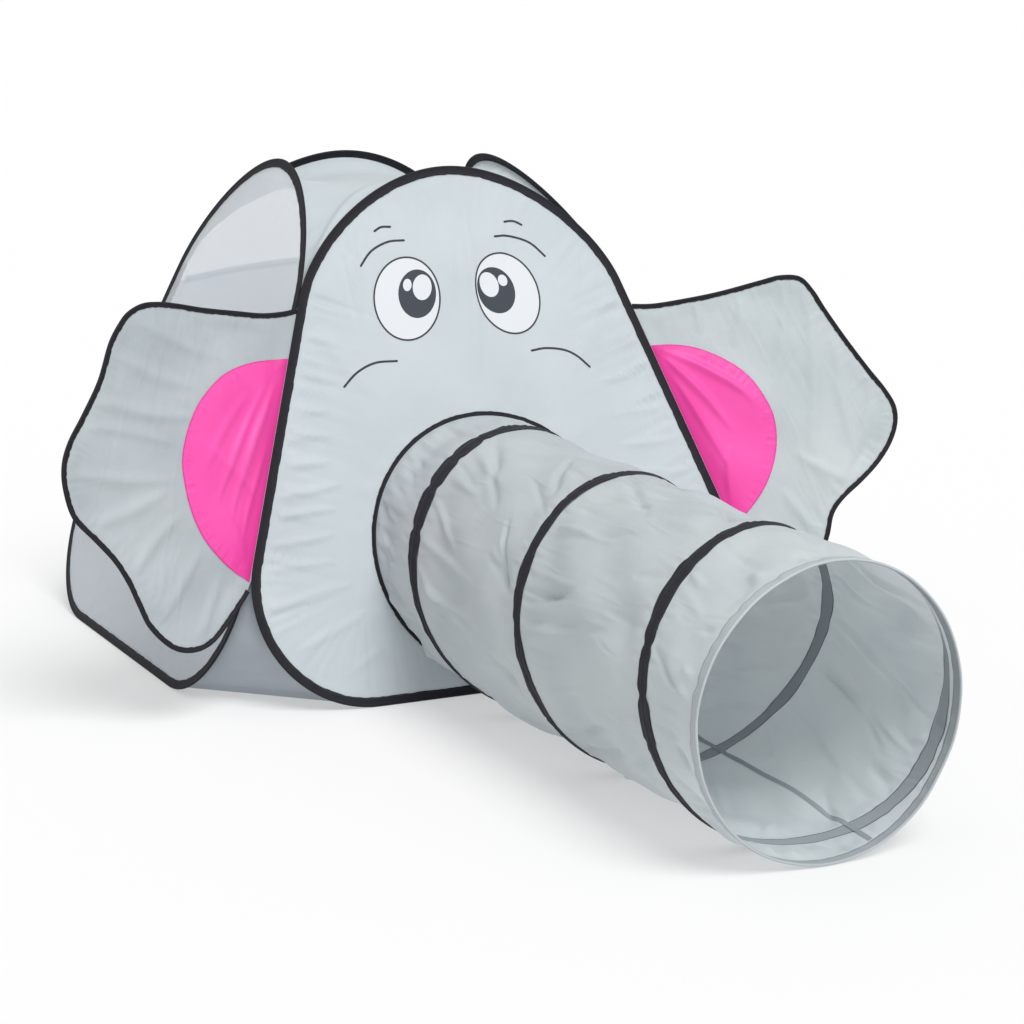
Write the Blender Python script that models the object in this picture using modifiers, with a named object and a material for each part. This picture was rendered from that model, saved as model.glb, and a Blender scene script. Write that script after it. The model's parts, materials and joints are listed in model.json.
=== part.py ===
# Pop-up play tent with an elephant's face: four leaning panels on spring-wire hoops, a round tunnel
# for the trunk and two wired ears. Metres, +Z up, the tunnel runs towards -Y, the floor is at Z = 0.
import bpy
import bmesh
from math import atan, cos, hypot, pi, radians, sin, tan
from mathutils import Matrix, Vector

# Tent: the planes of the four panels and the outline they share
FLOOR_SPAN = 1.175
LEAN = radians(19.2)
PANEL_RISE = 1.000
CORNER_RADIUS = 0.215
CORNER_GAP = 0.003
ARCH_START = 0.760
ARCH_LIFT = 0.115
ARCH_SPREAD = 0.150
CORNER_STEPS = 7
ARCH_STEPS = 7

# Cloth, wire and folded tape; the fold takes its size from the wire and the cloth it holds
CLOTH = 0.0008
WIRE_RADIUS = 0.00125
FIT_GAP = 0.0003
TAPE_WALL = 0.0008
TAPE_WIDTH = 0.019
EDGE_IN_TAPE = 0.007
LAYER_STEP = CLOTH + FIT_GAP

# Face: the round opening that the tunnel is sewn to
OPENING_FLARE = 0.0109
OPENING_SHIFT = -0.010
OPENING_SILL = 0.0341
OPENING_TAPE_WIDTH = 0.009
OPENING_EDGE_IN_TAPE = 0.0062
RING_STEPS = 24

# Back: plain cloth below, mesh above, a hem across the join
BACK_SEAM_HEIGHT = 0.736
BACK_SEAM_GAP = 0.0006
BACK_HEM_WIDTH = 0.016

# Roof and corner cloths, hung just inside the hoops
CLOTH_EDGE_INSET = 0.004
ROOF_CELLS = 2 * ARCH_STEPS
ROOF_RELAX_ROUNDS = 160
GUSSET_CELLS = 3

# Tunnel
TUNNEL_RADIUS = 0.2300
TUNNEL_LENGTH = 1.180
TUNNEL_SHIFT = -0.028
TUNNEL_LAP = 0.002
FACE_BLEND = 0.250
BLEND_ROWS = 6
PLAIN_ROWS = 3
SEAM_FACET = 13
SEAM_TAPE_WIDTH = 0.012
MOUTH_HEM_WIDTH = 0.020
MOUTH_HEM_GAP = 0.0006

# Spring wire of the tunnel: one coil, leaning, under a spiral tape; it ends beside the mouth's hem.
# Its turns are counted in steps, RING_STEPS to a turn
COIL_START = 0.058
COIL_FIRST_STEP = -2
COIL_STOP_STEP = 63
COIL_LAST_STEP = 70
COIL_LEAN_FORE = 0.0322
COIL_LEAN_SIDE = 0.0207
SPIRAL_TAPE_WIDTH = 0.040
SPIRAL_RIDGE_WIDTH = 0.014

# Ears: outline points are (out from the hinge line, up along it); the line runs beside the front hoop
EAR_FOLD = radians(15.0)
EAR_TAPE_WIDTH = 0.013
EAR_EDGE_IN_TAPE = 0.006
EAR_TAPE_START = 0.008
EAR_STEPS = 3
EAR_TOP = 0.750
EAR_FOOT = 0.205
EAR_RIM = [
    (0.129, 0.712), (0.255, 0.690), (0.339, 0.655), (0.365, 0.580), (0.408, 0.360),
    (0.371, 0.276), (0.271, 0.224), (0.196, 0.166), (0.107, 0.110), (0.036, 0.145),
]
LINING_STEPS = 2
LINING_START = 0.002
LINING_TOP = 0.665
LINING_FOOT = 0.258
LINING_RIM = [
    (0.070, 0.638), (0.118, 0.604), (0.152, 0.558), (0.175, 0.470),
    (0.152, 0.368), (0.118, 0.328), (0.060, 0.288),
]

# Worked out from the dimensions above
HALF_SPAN = FLOOR_SPAN / 2
OPENING_RADIUS = TUNNEL_RADIUS + OPENING_FLARE
OPENING_HEIGHT = OPENING_RADIUS + OPENING_SILL
WIRE_ROOM = WIRE_RADIUS + FIT_GAP
TAPE_HALF = WIRE_ROOM + TAPE_WALL
WIRE_INSET = TAPE_WALL + WIRE_ROOM
CLOTH_ROOM = CLOTH / 2 + FIT_GAP
BEHIND_TAPE = TAPE_HALF + FIT_GAP + CLOTH / 2 + 0.0001
SIDE_SLOPE = sin(LEAN)
SIDE_RUN = hypot(1.0, SIDE_SLOPE)
RIM_BASE = WIRE_RADIUS * tan(LEAN)
SPIRAL_RIDGE = CLOTH / 2 + 2 * FIT_GAP + 2 * WIRE_RADIUS + TAPE_WALL
AXIS_HEIGHT = TUNNEL_RADIUS - CLOTH / 2 + SPIRAL_RIDGE + TAPE_WALL / 2
EAR_HINGE_GAP = CLOTH / 2 + FIT_GAP
FLOOR_SHEET_MARGIN = WIRE_RADIUS / cos(LEAN) + TAPE_WALL + FIT_GAP
TUNNEL_START = (TAPE_HALF + 2 * FIT_GAP) / cos(LEAN)
COIL_STOP = TUNNEL_LENGTH - MOUTH_HEM_WIDTH - MOUTH_HEM_GAP - SPIRAL_TAPE_WIDTH / 2 - FIT_GAP
COIL_PITCH = (COIL_STOP - COIL_START) * RING_STEPS / COIL_STOP_STEP
FACE_CENTRE_Y = -HALF_SPAN + OPENING_HEIGHT * sin(LEAN)
FACE_CENTRE_Z = OPENING_HEIGHT * cos(LEAN)

kit = bpy.data.collections.new("play_tent_with_tunnel")


def clear_scene():
    for obj in list(bpy.data.objects):
        bpy.data.objects.remove(obj, do_unlink=True)
    bpy.context.scene.collection.children.link(kit)


def finish(name, colour, roughness, metallic=0.0):
    material = bpy.data.materials.new(name)
    material.use_nodes = True
    shader = material.node_tree.nodes["Principled BSDF"]
    shader.inputs["Base Color"].default_value = (*colour, 1.0)
    shader.inputs["Roughness"].default_value = roughness
    shader.inputs["Metallic"].default_value = metallic
    return material


def make_finishes():
    return {
        "grey_cloth": finish("grey_taffeta", (0.565, 0.638, 0.672), 0.62),
        "pink_cloth": finish("pink_taffeta", (0.965, 0.085, 0.445), 0.55),
        "mesh": finish("white_mesh", (0.760, 0.790, 0.830), 0.70),
        "tape": finish("black_binding_tape", (0.027, 0.025, 0.032), 0.48),
        "wire": finish("zinc_spring_wire", (0.520, 0.525, 0.535), 0.32, 1.0),
    }


# Frames: every panel is drawn flat, then stood up and turned to its side of the tent

def panel_frame(turn):
    tilt = Matrix.Rotation(pi / 2 - LEAN, 4, "X")
    shift = Matrix.Translation((0.0, -HALF_SPAN, 0.0))
    return Matrix.Rotation(turn, 4, "Z") @ shift @ tilt


def empty(name, matrix):
    obj = bpy.data.objects.new(name, None)
    kit.objects.link(obj)
    obj.matrix_world = matrix
    return obj


def ear_frame(side):
    line = Vector((-side * tan(LEAN), tan(LEAN), 1.0)).normalized()
    face_normal = Vector((0.0, -cos(LEAN), sin(LEAN)))
    flat = line.cross(face_normal)
    across = cos(EAR_FOLD) * flat + side * sin(EAR_FOLD) * face_normal
    foot = side_line(0.0) + EAR_HINGE_GAP * SIDE_RUN
    frame = Matrix((across, line, across.cross(line))).transposed().to_4x4()
    return Matrix.Translation((side * foot, -HALF_SPAN, 0.0)) @ frame


# Outlines

def side_line(height):
    return HALF_SPAN - height * SIDE_SLOPE - CORNER_GAP * SIDE_RUN


def corner_arc():
    """Rounded bottom corner of a hoop: tangent to the floor line and to the leaning side."""
    slant = atan(SIDE_SLOPE)
    tangent = CORNER_RADIUS / tan((pi / 2 - slant) / 2)
    centre = Vector((side_line(RIM_BASE) - tangent, RIM_BASE + CORNER_RADIUS))
    points = []
    for step in range(CORNER_STEPS + 1):
        angle = -pi / 2 + (pi / 2 + slant) * step / CORNER_STEPS
        out = Vector((cos(angle), sin(angle)))
        points.append((centre + CORNER_RADIUS * out, -out))
    return points


def arch_curve():
    """Right half of the arch, from the leaning side up to the top of the hoop."""
    along = Vector((-SIDE_SLOPE, 1.0)).normalized()
    start = Vector((side_line(ARCH_START), ARCH_START))
    lift = start + ARCH_LIFT * along
    top = Vector((0.0, PANEL_RISE))
    spread = Vector((ARCH_SPREAD, PANEL_RISE))
    points = []
    for step in range(ARCH_STEPS + 1):
        t = step / ARCH_STEPS
        u = 1.0 - t
        place = u ** 3 * start + 3 * u * u * t * lift + 3 * u * t * t * spread + t ** 3 * top
        run = u * u * (lift - start) + 2 * u * t * (spread - lift) + t * t * (top - spread)
        points.append((place, Vector((-run.y, run.x)).normalized()))
    return points


def mirrored(points):
    return [(Vector((-p.x, p.y)), Vector((-n.x, n.y))) for p, n in reversed(points)]


def hoop_rim():
    right = corner_arc() + arch_curve()
    return right + mirrored(right[:-1])


def inset(rim, depth):
    return [place + depth * inward for place, inward in rim]


def ring_rim(radius):
    points = []
    for step in range(RING_STEPS):
        angle = 2 * pi * step / RING_STEPS
        out = Vector((cos(angle), sin(angle)))
        points.append((radius * out + Vector((OPENING_SHIFT, OPENING_HEIGHT)), out))
    return points


def smooth_rim(points, steps):
    """A flowing line through a few outline points, with the direction that leads inwards."""
    count = len(points)
    places = [Vector(p) for p in points]
    line = []
    for index in range(count - 1):
        before = places[max(index - 1, 0)]
        start, end = places[index], places[index + 1]
        after = places[min(index + 2, count - 1)]
        for step in range(steps):
            t = step / steps
            bend = 2 * start + (end - before) * t
            bend += (2 * before - 5 * start + 4 * end - after) * t * t
            bend += (3 * start - before - 3 * end + after) * t ** 3
            line.append(bend / 2)
    line.append(places[-1])
    rim = []
    for index, place in enumerate(line):
        run = line[min(index + 1, len(line) - 1)] - line[max(index - 1, 0)]
        rim.append((place, Vector((run.y, -run.x)).normalized()))
    return rim


# Solids

def add(name, mesh, material, parent, thickness=0.0, smooth=True):
    mesh.name = name
    mesh.materials.append(material)
    obj = bpy.data.objects.new(name, mesh)
    kit.objects.link(obj)
    obj.parent = parent
    if thickness:
        shell = obj.modifiers.new("thickness", "SOLIDIFY")
        shell.thickness = thickness
        shell.offset = 0.0
    if smooth:
        mesh.shade_smooth()
        mesh.set_sharp_from_angle(angle=radians(40.0))
    return obj


def wrapped_mesh(columns, rows, place, caps=False):
    """A sheet of columns x rows cells laid where place(column, row) says; meeting edges are joined."""
    bm = bmesh.new()
    bmesh.ops.create_grid(bm, x_segments=columns, y_segments=rows, size=1.0)
    for vert in bm.verts:
        column = round((vert.co.x + 1.0) / 2.0 * columns)
        row = round((vert.co.y + 1.0) / 2.0 * rows)
        vert.co = place(column, row)
    bmesh.ops.remove_doubles(bm, verts=bm.verts[:], dist=0.00001)
    if caps:
        edges = [edge for edge in bm.edges if edge.is_boundary]
        bmesh.ops.holes_fill(bm, edges=edges)
    bmesh.ops.recalc_face_normals(bm, faces=bm.faces[:])
    mesh = bpy.data.meshes.new("sheet")
    bm.to_mesh(mesh)
    bm.free()
    return mesh


def fold_section(width):
    """Cut through a folded tape, as (in from the rim, off the panel): wire room at the rim, cloth between the legs."""
    leg = CLOTH_ROOM + TAPE_WALL
    knee = WIRE_INSET + WIRE_RADIUS
    room_end = knee + TAPE_WALL + FIT_GAP
    outer = [(width, -leg), (knee, -TAPE_HALF), (0.0, -WIRE_RADIUS)]
    inner = [(width, CLOTH_ROOM), (room_end, WIRE_ROOM), (TAPE_WALL, WIRE_ROOM)]
    return outer + [(i, -o) for i, o in reversed(outer)] + inner + [(i, -o) for i, o in reversed(inner)]


def folded_tape(name, rim, width, material, parent, side=1.0, closed=True):
    section = fold_section(width)
    count = len(rim)

    def place(column, row):
        point, inward = rim[column % count]
        depth, off = section[row % len(section)]
        spot = point + depth * inward
        return Vector((side * spot.x, spot.y, off))

    columns = count if closed else count - 1
    mesh = wrapped_mesh(columns, len(section), place, caps=not closed)
    return add(name, mesh, material, parent)


def curve_mesh(curve):
    """The solid that a curve makes, welded into one closed body."""
    source = bpy.data.objects.new("outline", curve)
    kit.objects.link(source)
    bpy.context.view_layer.update()
    mesh = bpy.data.meshes.new_from_object(source.evaluated_get(bpy.context.evaluated_depsgraph_get()))
    bpy.data.objects.remove(source, do_unlink=True)
    bm = bmesh.new()
    bm.from_mesh(mesh)
    bmesh.ops.remove_doubles(bm, verts=bm.verts[:], dist=0.00001)
    bmesh.ops.recalc_face_normals(bm, faces=bm.faces[:])
    bm.to_mesh(mesh)
    bm.free()
    return mesh


def add_loop(curve, places, closed):
    spline = curve.splines.new("POLY")
    spline.points.add(len(places) - 1)
    for point, place in zip(spline.points, places):
        point.co = (*Vector(place).to_3d(), 1.0)
    spline.use_cyclic_u = closed


def plate(name, loops, material, parent, offset=0.0):
    """A flat cloth cut to an outline, with any holes given as further loops."""
    curve = bpy.data.curves.new(name, "CURVE")
    curve.dimensions = "2D"
    curve.fill_mode = "BOTH"
    curve.extrude = CLOTH / 2
    for loop in loops:
        add_loop(curve, loop, True)
    mesh = curve_mesh(curve)
    mesh.transform(Matrix.Translation((0.0, 0.0, offset)))
    return add(name, mesh, material, parent, smooth=False)


def wire(name, places, material, parent, closed=True):
    curve = bpy.data.curves.new(name, "CURVE")
    curve.dimensions = "3D"
    curve.bevel_depth = WIRE_RADIUS
    curve.bevel_resolution = 2
    curve.use_fill_caps = not closed
    add_loop(curve, places, closed)
    return add(name, curve_mesh(curve), material, parent)


# Tent

def build_hoops(frames, finishes):
    rim = hoop_rim()
    for side, frame in frames.items():
        wire(f"hoop_wire_{side}", inset(rim, WIRE_INSET), finishes["wire"], frame)
        folded_tape(f"binding_{side}", rim, TAPE_WIDTH, finishes["tape"], frame)


def build_face(frame, finishes):
    hole = inset(ring_rim(OPENING_RADIUS), OPENING_EDGE_IN_TAPE)
    plate("face_panel", [inset(hoop_rim(), EDGE_IN_TAPE), hole], finishes["grey_cloth"], frame)
    ring = ring_rim(OPENING_RADIUS)
    wire("opening_wire", inset(ring, WIRE_INSET), finishes["wire"], frame)
    folded_tape("opening_binding", ring, OPENING_TAPE_WIDTH, finishes["tape"], frame)


def build_side(name, frame, finishes):
    plate(name, [inset(hoop_rim(), EDGE_IN_TAPE)], finishes["mesh"], frame)


def cut_at_height(obj, height, keep_above):
    """Cuts a flat panel straight across and keeps one part of it."""
    bm = bmesh.new()
    bm.from_mesh(obj.data)
    geometry = bm.verts[:] + bm.edges[:] + bm.faces[:]
    bmesh.ops.bisect_plane(bm, geom=geometry, dist=0.00001, plane_co=(0.0, height, 0.0),
                           plane_no=(0.0, 1.0, 0.0), clear_inner=keep_above, clear_outer=not keep_above)
    bmesh.ops.holes_fill(bm, edges=[edge for edge in bm.edges if edge.is_boundary])
    bmesh.ops.recalc_face_normals(bm, faces=bm.faces[:])
    bm.to_mesh(obj.data)
    bm.free()


def build_back(frame, finishes):
    outline = inset(hoop_rim(), EDGE_IN_TAPE)
    lower = plate("back_panel", [outline], finishes["grey_cloth"], frame)
    cut_at_height(lower, BACK_SEAM_HEIGHT - BACK_SEAM_GAP / 2, False)
    upper = plate("back_mesh", [outline], finishes["mesh"], frame)
    cut_at_height(upper, BACK_SEAM_HEIGHT + BACK_SEAM_GAP / 2, True)
    reach = side_line(BACK_SEAM_HEIGHT + BACK_HEM_WIDTH) - TAPE_WIDTH * SIDE_RUN - FIT_GAP
    low, high = BACK_SEAM_HEIGHT - BACK_HEM_WIDTH / 2, BACK_SEAM_HEIGHT + BACK_HEM_WIDTH / 2
    strip = [(-reach, low), (reach, low), (reach, high), (-reach, high)]
    plate("back_hem", [strip], finishes["grey_cloth"], frame, offset=-LAYER_STEP)


def edge_point(turn, point):
    """Where a cloth's edge lies just inside a hoop, in tent space."""
    place, inward = point
    spot = place + CLOTH_EDGE_INSET * inward
    return panel_frame(turn) @ Vector((spot.x, spot.y, -BEHIND_TAPE))


def build_roof(parent, finishes):
    """A cloth hung between the four arches and drawn taut, so it sinks between them."""
    right = arch_curve()
    arch = (right + mirrored(right)[1:])[::-1]
    sides = [[edge_point(side * pi / 2, point) for point in arch] for side in range(4)]
    for index, line in enumerate(sides):
        following = sides[(index + 1) % 4]
        corner = (line[-1] + following[0]) / 2
        line[-1] = corner
        following[0] = corner
    front, east = sides[0], sides[1]
    back, west = sides[2][::-1], sides[3][::-1]
    cells = ROOF_CELLS
    grid = []
    for row in range(cells + 1):
        v = row / cells
        line = []
        for column in range(cells + 1):
            u = column / cells
            spot = (1 - v) * front[column] + v * back[column] + (1 - u) * west[row] + u * east[row]
            spot -= (1 - v) * ((1 - u) * front[0] + u * front[-1])
            spot -= v * ((1 - u) * back[0] + u * back[-1])
            line.append(spot)
        grid.append(line)
    for _ in range(ROOF_RELAX_ROUNDS):
        for row in range(1, cells):
            for column in range(1, cells):
                near = grid[row - 1][column] + grid[row + 1][column]
                near += grid[row][column - 1] + grid[row][column + 1]
                grid[row][column] = near / 4
    mesh = wrapped_mesh(cells, cells, lambda column, row: grid[row][column])
    add("roof_cloth", mesh, finishes["grey_cloth"], parent, thickness=CLOTH)


def build_gusset(name, turn, parent, finishes):
    """Corner cloth between two hoops' rounded corners, down to the floor."""
    arc = corner_arc()
    left = [edge_point(turn, p) for p in reversed(mirrored(arc))]
    right = [edge_point(turn - pi / 2, p) for p in arc]

    def place(column, row):
        t = column / GUSSET_CELLS
        return (1 - t) * left[row] + t * right[row]

    mesh = wrapped_mesh(GUSSET_CELLS, CORNER_STEPS, place)
    add(name, mesh, finishes["grey_cloth"], parent, thickness=CLOTH)


def build_floor(parent, finishes):
    edge = HALF_SPAN - FLOOR_SHEET_MARGIN
    cut = corner_arc()[0][0].x - FLOOR_SHEET_MARGIN
    outline = []
    for turn in range(4):
        spin = Matrix.Rotation(turn * pi / 2, 2)
        outline += [spin @ Vector((-cut, -edge)), spin @ Vector((cut, -edge))]
    plate("floor_sheet", [outline], finishes["grey_cloth"], parent, offset=CLOTH / 2)


# Tunnel

def tunnel_point(angle, run, off=0.0):
    """A point on the tunnel: angle from the top round to the near side, run from the face, off the cloth's middle."""
    blend = min(1.0, max(0.0, (FACE_BLEND - run) / (FACE_BLEND - TUNNEL_START))) ** 2
    tilt = LEAN * blend
    radius = TUNNEL_RADIUS - CLOTH / 2 + off
    radius += (OPENING_RADIUS + TUNNEL_LAP - TUNNEL_RADIUS) * blend
    side = TUNNEL_SHIFT + (OPENING_SHIFT - TUNNEL_SHIFT) * blend
    centre = AXIS_HEIGHT + (FACE_CENTRE_Z - AXIS_HEIGHT) * blend
    rise = radius * cos(angle)
    y = FACE_CENTRE_Y - run + rise * sin(tilt)
    return Vector((side - radius * sin(angle), y, centre + rise * cos(tilt)))


def tunnel_runs():
    near = [TUNNEL_START + (FACE_BLEND - TUNNEL_START) * row / BLEND_ROWS for row in range(BLEND_ROWS)]
    last = TUNNEL_LENGTH - MOUTH_HEM_WIDTH - MOUTH_HEM_GAP
    return near + [FACE_BLEND + (last - FACE_BLEND) * row / PLAIN_ROWS for row in range(PLAIN_ROWS + 1)]


def coil_run(turns):
    angle = 2 * pi * turns
    run = COIL_START + COIL_PITCH * turns + COIL_LEAN_FORE * cos(angle) + COIL_LEAN_SIDE * sin(angle)
    return min(run, COIL_STOP)


def coil_turns():
    return [step / RING_STEPS for step in range(COIL_FIRST_STEP, COIL_LAST_STEP + 1)]


def build_tunnel(parent, finishes):
    runs = tunnel_runs()
    mesh = wrapped_mesh(RING_STEPS, len(runs) - 1,
                        lambda column, row: tunnel_point(2 * pi * column / RING_STEPS, runs[row]))
    add("tunnel_cloth", mesh, finishes["grey_cloth"], parent, thickness=CLOTH)
    build_coil(parent, finishes)
    facet = 2 * pi / RING_STEPS

    def seam_place(column, row):
        start = tunnel_point(SEAM_FACET * facet, runs[row], -LAYER_STEP - CLOTH)
        end = tunnel_point((SEAM_FACET + 1) * facet, runs[row], -LAYER_STEP - CLOTH)
        reach = SEAM_TAPE_WIDTH * (column + 0.5)
        return start + reach * (end - start).normalized()

    seam = wrapped_mesh(1, len(runs) - 1, seam_place)
    add("tunnel_seam_tape", seam, finishes["grey_cloth"], parent, thickness=CLOTH)


def build_coil(parent, finishes):
    """The spring that holds the tunnel open, and the tape that keeps it on the outside of the cloth."""
    turns = coil_turns()
    wire_off = CLOTH / 2 + FIT_GAP + WIRE_RADIUS
    path = [tunnel_point(2 * pi * turn, coil_run(turn), wire_off) for turn in turns]
    wire("tunnel_coil_wire", path, finishes["wire"], parent, closed=False)
    flat = LAYER_STEP
    across = [
        (-SPIRAL_TAPE_WIDTH / 2, flat), (-SPIRAL_RIDGE_WIDTH / 2, flat), (0.0, SPIRAL_RIDGE),
        (SPIRAL_RIDGE_WIDTH / 2, flat), (SPIRAL_TAPE_WIDTH / 2, flat),
    ]

    def tape_place(column, row):
        shift, off = across[row]
        turn = turns[column]
        return tunnel_point(2 * pi * turn, coil_run(turn) + shift, off)

    mesh = wrapped_mesh(len(turns) - 1, len(across) - 1, tape_place)
    add("tunnel_spiral_tape", mesh, finishes["tape"], parent, thickness=TAPE_WALL)


def build_mouth(parent, finishes):
    """The ring at the tunnel's end: a closed wire inside a folded hem of the tunnel's own cloth."""
    section = fold_section(MOUTH_HEM_WIDTH)
    middle = TUNNEL_RADIUS - CLOTH / 2

    def hem_place(column, row):
        angle = 2 * pi * column / RING_STEPS
        depth, off = section[row % len(section)]
        return Vector(((middle + off) * sin(angle), depth, (middle + off) * cos(angle)))

    hem = wrapped_mesh(RING_STEPS, len(section), hem_place)
    add("mouth_hem", hem, finishes["grey_cloth"], parent)
    ring = []
    for step in range(RING_STEPS):
        angle = 2 * pi * step / RING_STEPS
        ring.append((middle * sin(angle), WIRE_INSET, middle * cos(angle)))
    wire("mouth_wire", ring, finishes["wire"], parent)


# Ears

def build_ear(name, side, frame, finishes):
    outline = [(EAR_TAPE_START, EAR_TOP), *EAR_RIM, (EAR_TAPE_START, EAR_FOOT)]
    rim = smooth_rim(outline, EAR_STEPS)
    rim[0] = (rim[0][0], Vector((0.0, -1.0)))
    folded_tape(f"{name}_binding", rim, EAR_TAPE_WIDTH, finishes["tape"], frame, side, closed=False)
    run = [Vector((side * p.x, p.y)) for p in inset(rim, WIRE_INSET)]
    wire(f"{name}_wire", run, finishes["wire"], frame, closed=False)
    cloth = [Vector((side * p.x, p.y)) for p in inset(rim, EAR_EDGE_IN_TAPE)]
    root = [Vector((0.0, cloth[-1].y)), Vector((0.0, cloth[0].y))]
    plate(f"{name}_cloth", [cloth + root], finishes["grey_cloth"], frame)
    curve = [(LINING_START, LINING_TOP), *LINING_RIM, (LINING_START, LINING_FOOT)]
    lining = [(side * p.x, p.y) for p, _ in smooth_rim(curve, LINING_STEPS)]
    plate(f"{name}_lining", [lining], finishes["pink_cloth"], frame, offset=LAYER_STEP)


def build():
    clear_scene()
    finishes = make_finishes()
    base = empty("tent_base", Matrix.Identity(4))
    frames = {}
    for index, side in enumerate(("front", "right", "back", "left")):
        frames[side] = empty(f"{side}_plane", panel_frame(index * pi / 2))
    build_hoops(frames, finishes)
    build_face(frames["front"], finishes)
    build_side("side_mesh_left", frames["left"], finishes)
    build_side("side_mesh_right", frames["right"], finishes)
    build_back(frames["back"], finishes)
    build_roof(base, finishes)
    corners = ("front_left", "front_right", "back_right", "back_left")
    for index, corner in enumerate(corners):
        build_gusset(f"corner_gusset_{corner}", index * pi / 2, base, finishes)
    build_floor(base, finishes)
    build_tunnel(base, finishes)
    mouth = Matrix.Translation((TUNNEL_SHIFT, FACE_CENTRE_Y - TUNNEL_LENGTH, AXIS_HEIGHT))
    build_mouth(empty("tunnel_mouth", mouth), finishes)
    build_ear("ear_left", -1, empty("ear_left_hinge", ear_frame(-1)), finishes)
    build_ear("ear_right", 1, empty("ear_right_hinge", ear_frame(1)), finishes)


build()
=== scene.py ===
# %% [markdown]
# # A pop-up play tent with a tunnel
# Four leaning panels are held open by spring-steel hoops. The front panel is an elephant's face, with
# a round tunnel for its trunk and two wired ears. This script lays the finished look over the CAD
# frame, piece by piece, in metres, with +Z up and the tunnel running towards -Y.

# %% load the frame
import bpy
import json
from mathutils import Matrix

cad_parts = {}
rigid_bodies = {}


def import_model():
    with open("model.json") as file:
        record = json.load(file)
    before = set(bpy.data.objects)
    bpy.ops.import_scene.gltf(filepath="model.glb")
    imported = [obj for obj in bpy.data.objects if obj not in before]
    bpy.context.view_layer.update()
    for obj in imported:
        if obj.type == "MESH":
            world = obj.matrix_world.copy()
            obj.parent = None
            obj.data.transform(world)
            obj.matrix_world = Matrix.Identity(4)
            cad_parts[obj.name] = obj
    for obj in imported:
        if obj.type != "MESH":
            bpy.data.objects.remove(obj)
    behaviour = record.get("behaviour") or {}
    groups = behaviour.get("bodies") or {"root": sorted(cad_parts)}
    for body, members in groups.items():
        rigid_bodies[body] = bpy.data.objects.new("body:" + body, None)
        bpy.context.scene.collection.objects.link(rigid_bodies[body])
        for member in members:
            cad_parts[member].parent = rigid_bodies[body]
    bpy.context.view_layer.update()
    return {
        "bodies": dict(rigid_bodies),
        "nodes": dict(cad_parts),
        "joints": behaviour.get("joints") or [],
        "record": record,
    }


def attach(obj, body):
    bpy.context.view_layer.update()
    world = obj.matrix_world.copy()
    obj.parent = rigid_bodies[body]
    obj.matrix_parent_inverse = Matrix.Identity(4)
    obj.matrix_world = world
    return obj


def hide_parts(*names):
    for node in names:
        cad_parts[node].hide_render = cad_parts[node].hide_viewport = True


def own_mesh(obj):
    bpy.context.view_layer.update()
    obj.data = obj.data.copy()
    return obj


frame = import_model()

# %% tools
import json
from math import atan, cos, hypot, pi, radians, sin, tan
import bmesh
import bpy
import numpy as np
from mathutils import Matrix, Vector
from mathutils.bvhtree import BVHTree

# %% [markdown]
# ## Sizes shared with the frame
# The hoops, the tunnel and the opening follow the same dimensions as the CAD parts, so that everything
# sits on the parts that it dresses. The tapes' widths are a little narrower, as they are in the photo,
# and the points along each line are closer together.

# %% sizes
HALF_SPAN = 1.175 / 2
LEAN = radians(19.2)
PANEL_RISE = 1.000
CORNER_RADIUS = 0.215
CORNER_GAP = 0.003
ARCH_START = 0.760
ARCH_LIFT = 0.115
ARCH_SPREAD = 0.150
CLOTH = 0.0008
WIRE_RADIUS = 0.00125
WIRE_INSET = 0.00235
TAPE_WIDTH = 0.0172
EDGE_IN_TAPE = 0.007
SIDE_SLOPE = sin(LEAN)
SIDE_RUN = hypot(1.0, SIDE_SLOPE)
RIM_BASE = WIRE_RADIUS * tan(LEAN)
OPENING_RADIUS = 0.2409
OPENING_HEIGHT = 0.275
OPENING_SHIFT = -0.010
OPENING_TAPE_WIDTH = 0.009
EDGE_IN_OPENING_TAPE = 0.0062
TUNNEL_RADIUS = 0.2300
TUNNEL_LENGTH = 1.180
TUNNEL_SHIFT = -0.028
AXIS_HEIGHT = 0.2343
FACE_CENTRE_Y = -HALF_SPAN + OPENING_HEIGHT * sin(LEAN)
FACE_CENTRE_Z = OPENING_HEIGHT * cos(LEAN)
print("face centre", round(FACE_CENTRE_Y, 4), round(FACE_CENTRE_Z, 4))


# %% a panel's own plane: s across, t up the slope, n off its outer side
def panel_frame(turn):
    tilt = Matrix.Rotation(pi / 2 - LEAN, 4, "X")
    return np.array(Matrix.Rotation(turn, 4, "Z") @ Matrix.Translation((0.0, -HALF_SPAN, 0.0)) @ tilt)


def stand(matrix, s, t, n):
    flat = np.stack(np.broadcast_arrays(s, t, n), -1)
    return flat @ matrix[:3, :3].T + matrix[:3, 3]


def on_panel(side, s, t, n):
    """A place on a panel of the tent; above their shoulders, the side hoops bow in and rise a little."""
    bow, lift = BOW.get(side, (0.0, 0.0))
    high = np.clip((t - 0.6) / 0.4, 0, 1.2) ** 2
    return stand(PANELS[side], s, t + lift * high, n - bow * high)


BOW = {"left": (0.020, 0.012), "right": (0.050, 0.020)}
PANELS = {side: panel_frame(index * pi / 2) for index, side in enumerate(("front", "right", "back", "left"))}


# %% the hoop's outline, evenly spaced
def side_line(height):
    return HALF_SPAN - height * SIDE_SLOPE - CORNER_GAP * SIDE_RUN


def corner_line(count):
    slant = atan(SIDE_SLOPE)
    tangent = CORNER_RADIUS / tan((pi / 2 - slant) / 2)
    turn = np.linspace(-pi / 2, slant, count)
    across = side_line(RIM_BASE) - tangent + CORNER_RADIUS * np.cos(turn)
    return np.stack([across, RIM_BASE + CORNER_RADIUS * (1 + np.sin(turn))], 1)


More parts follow.
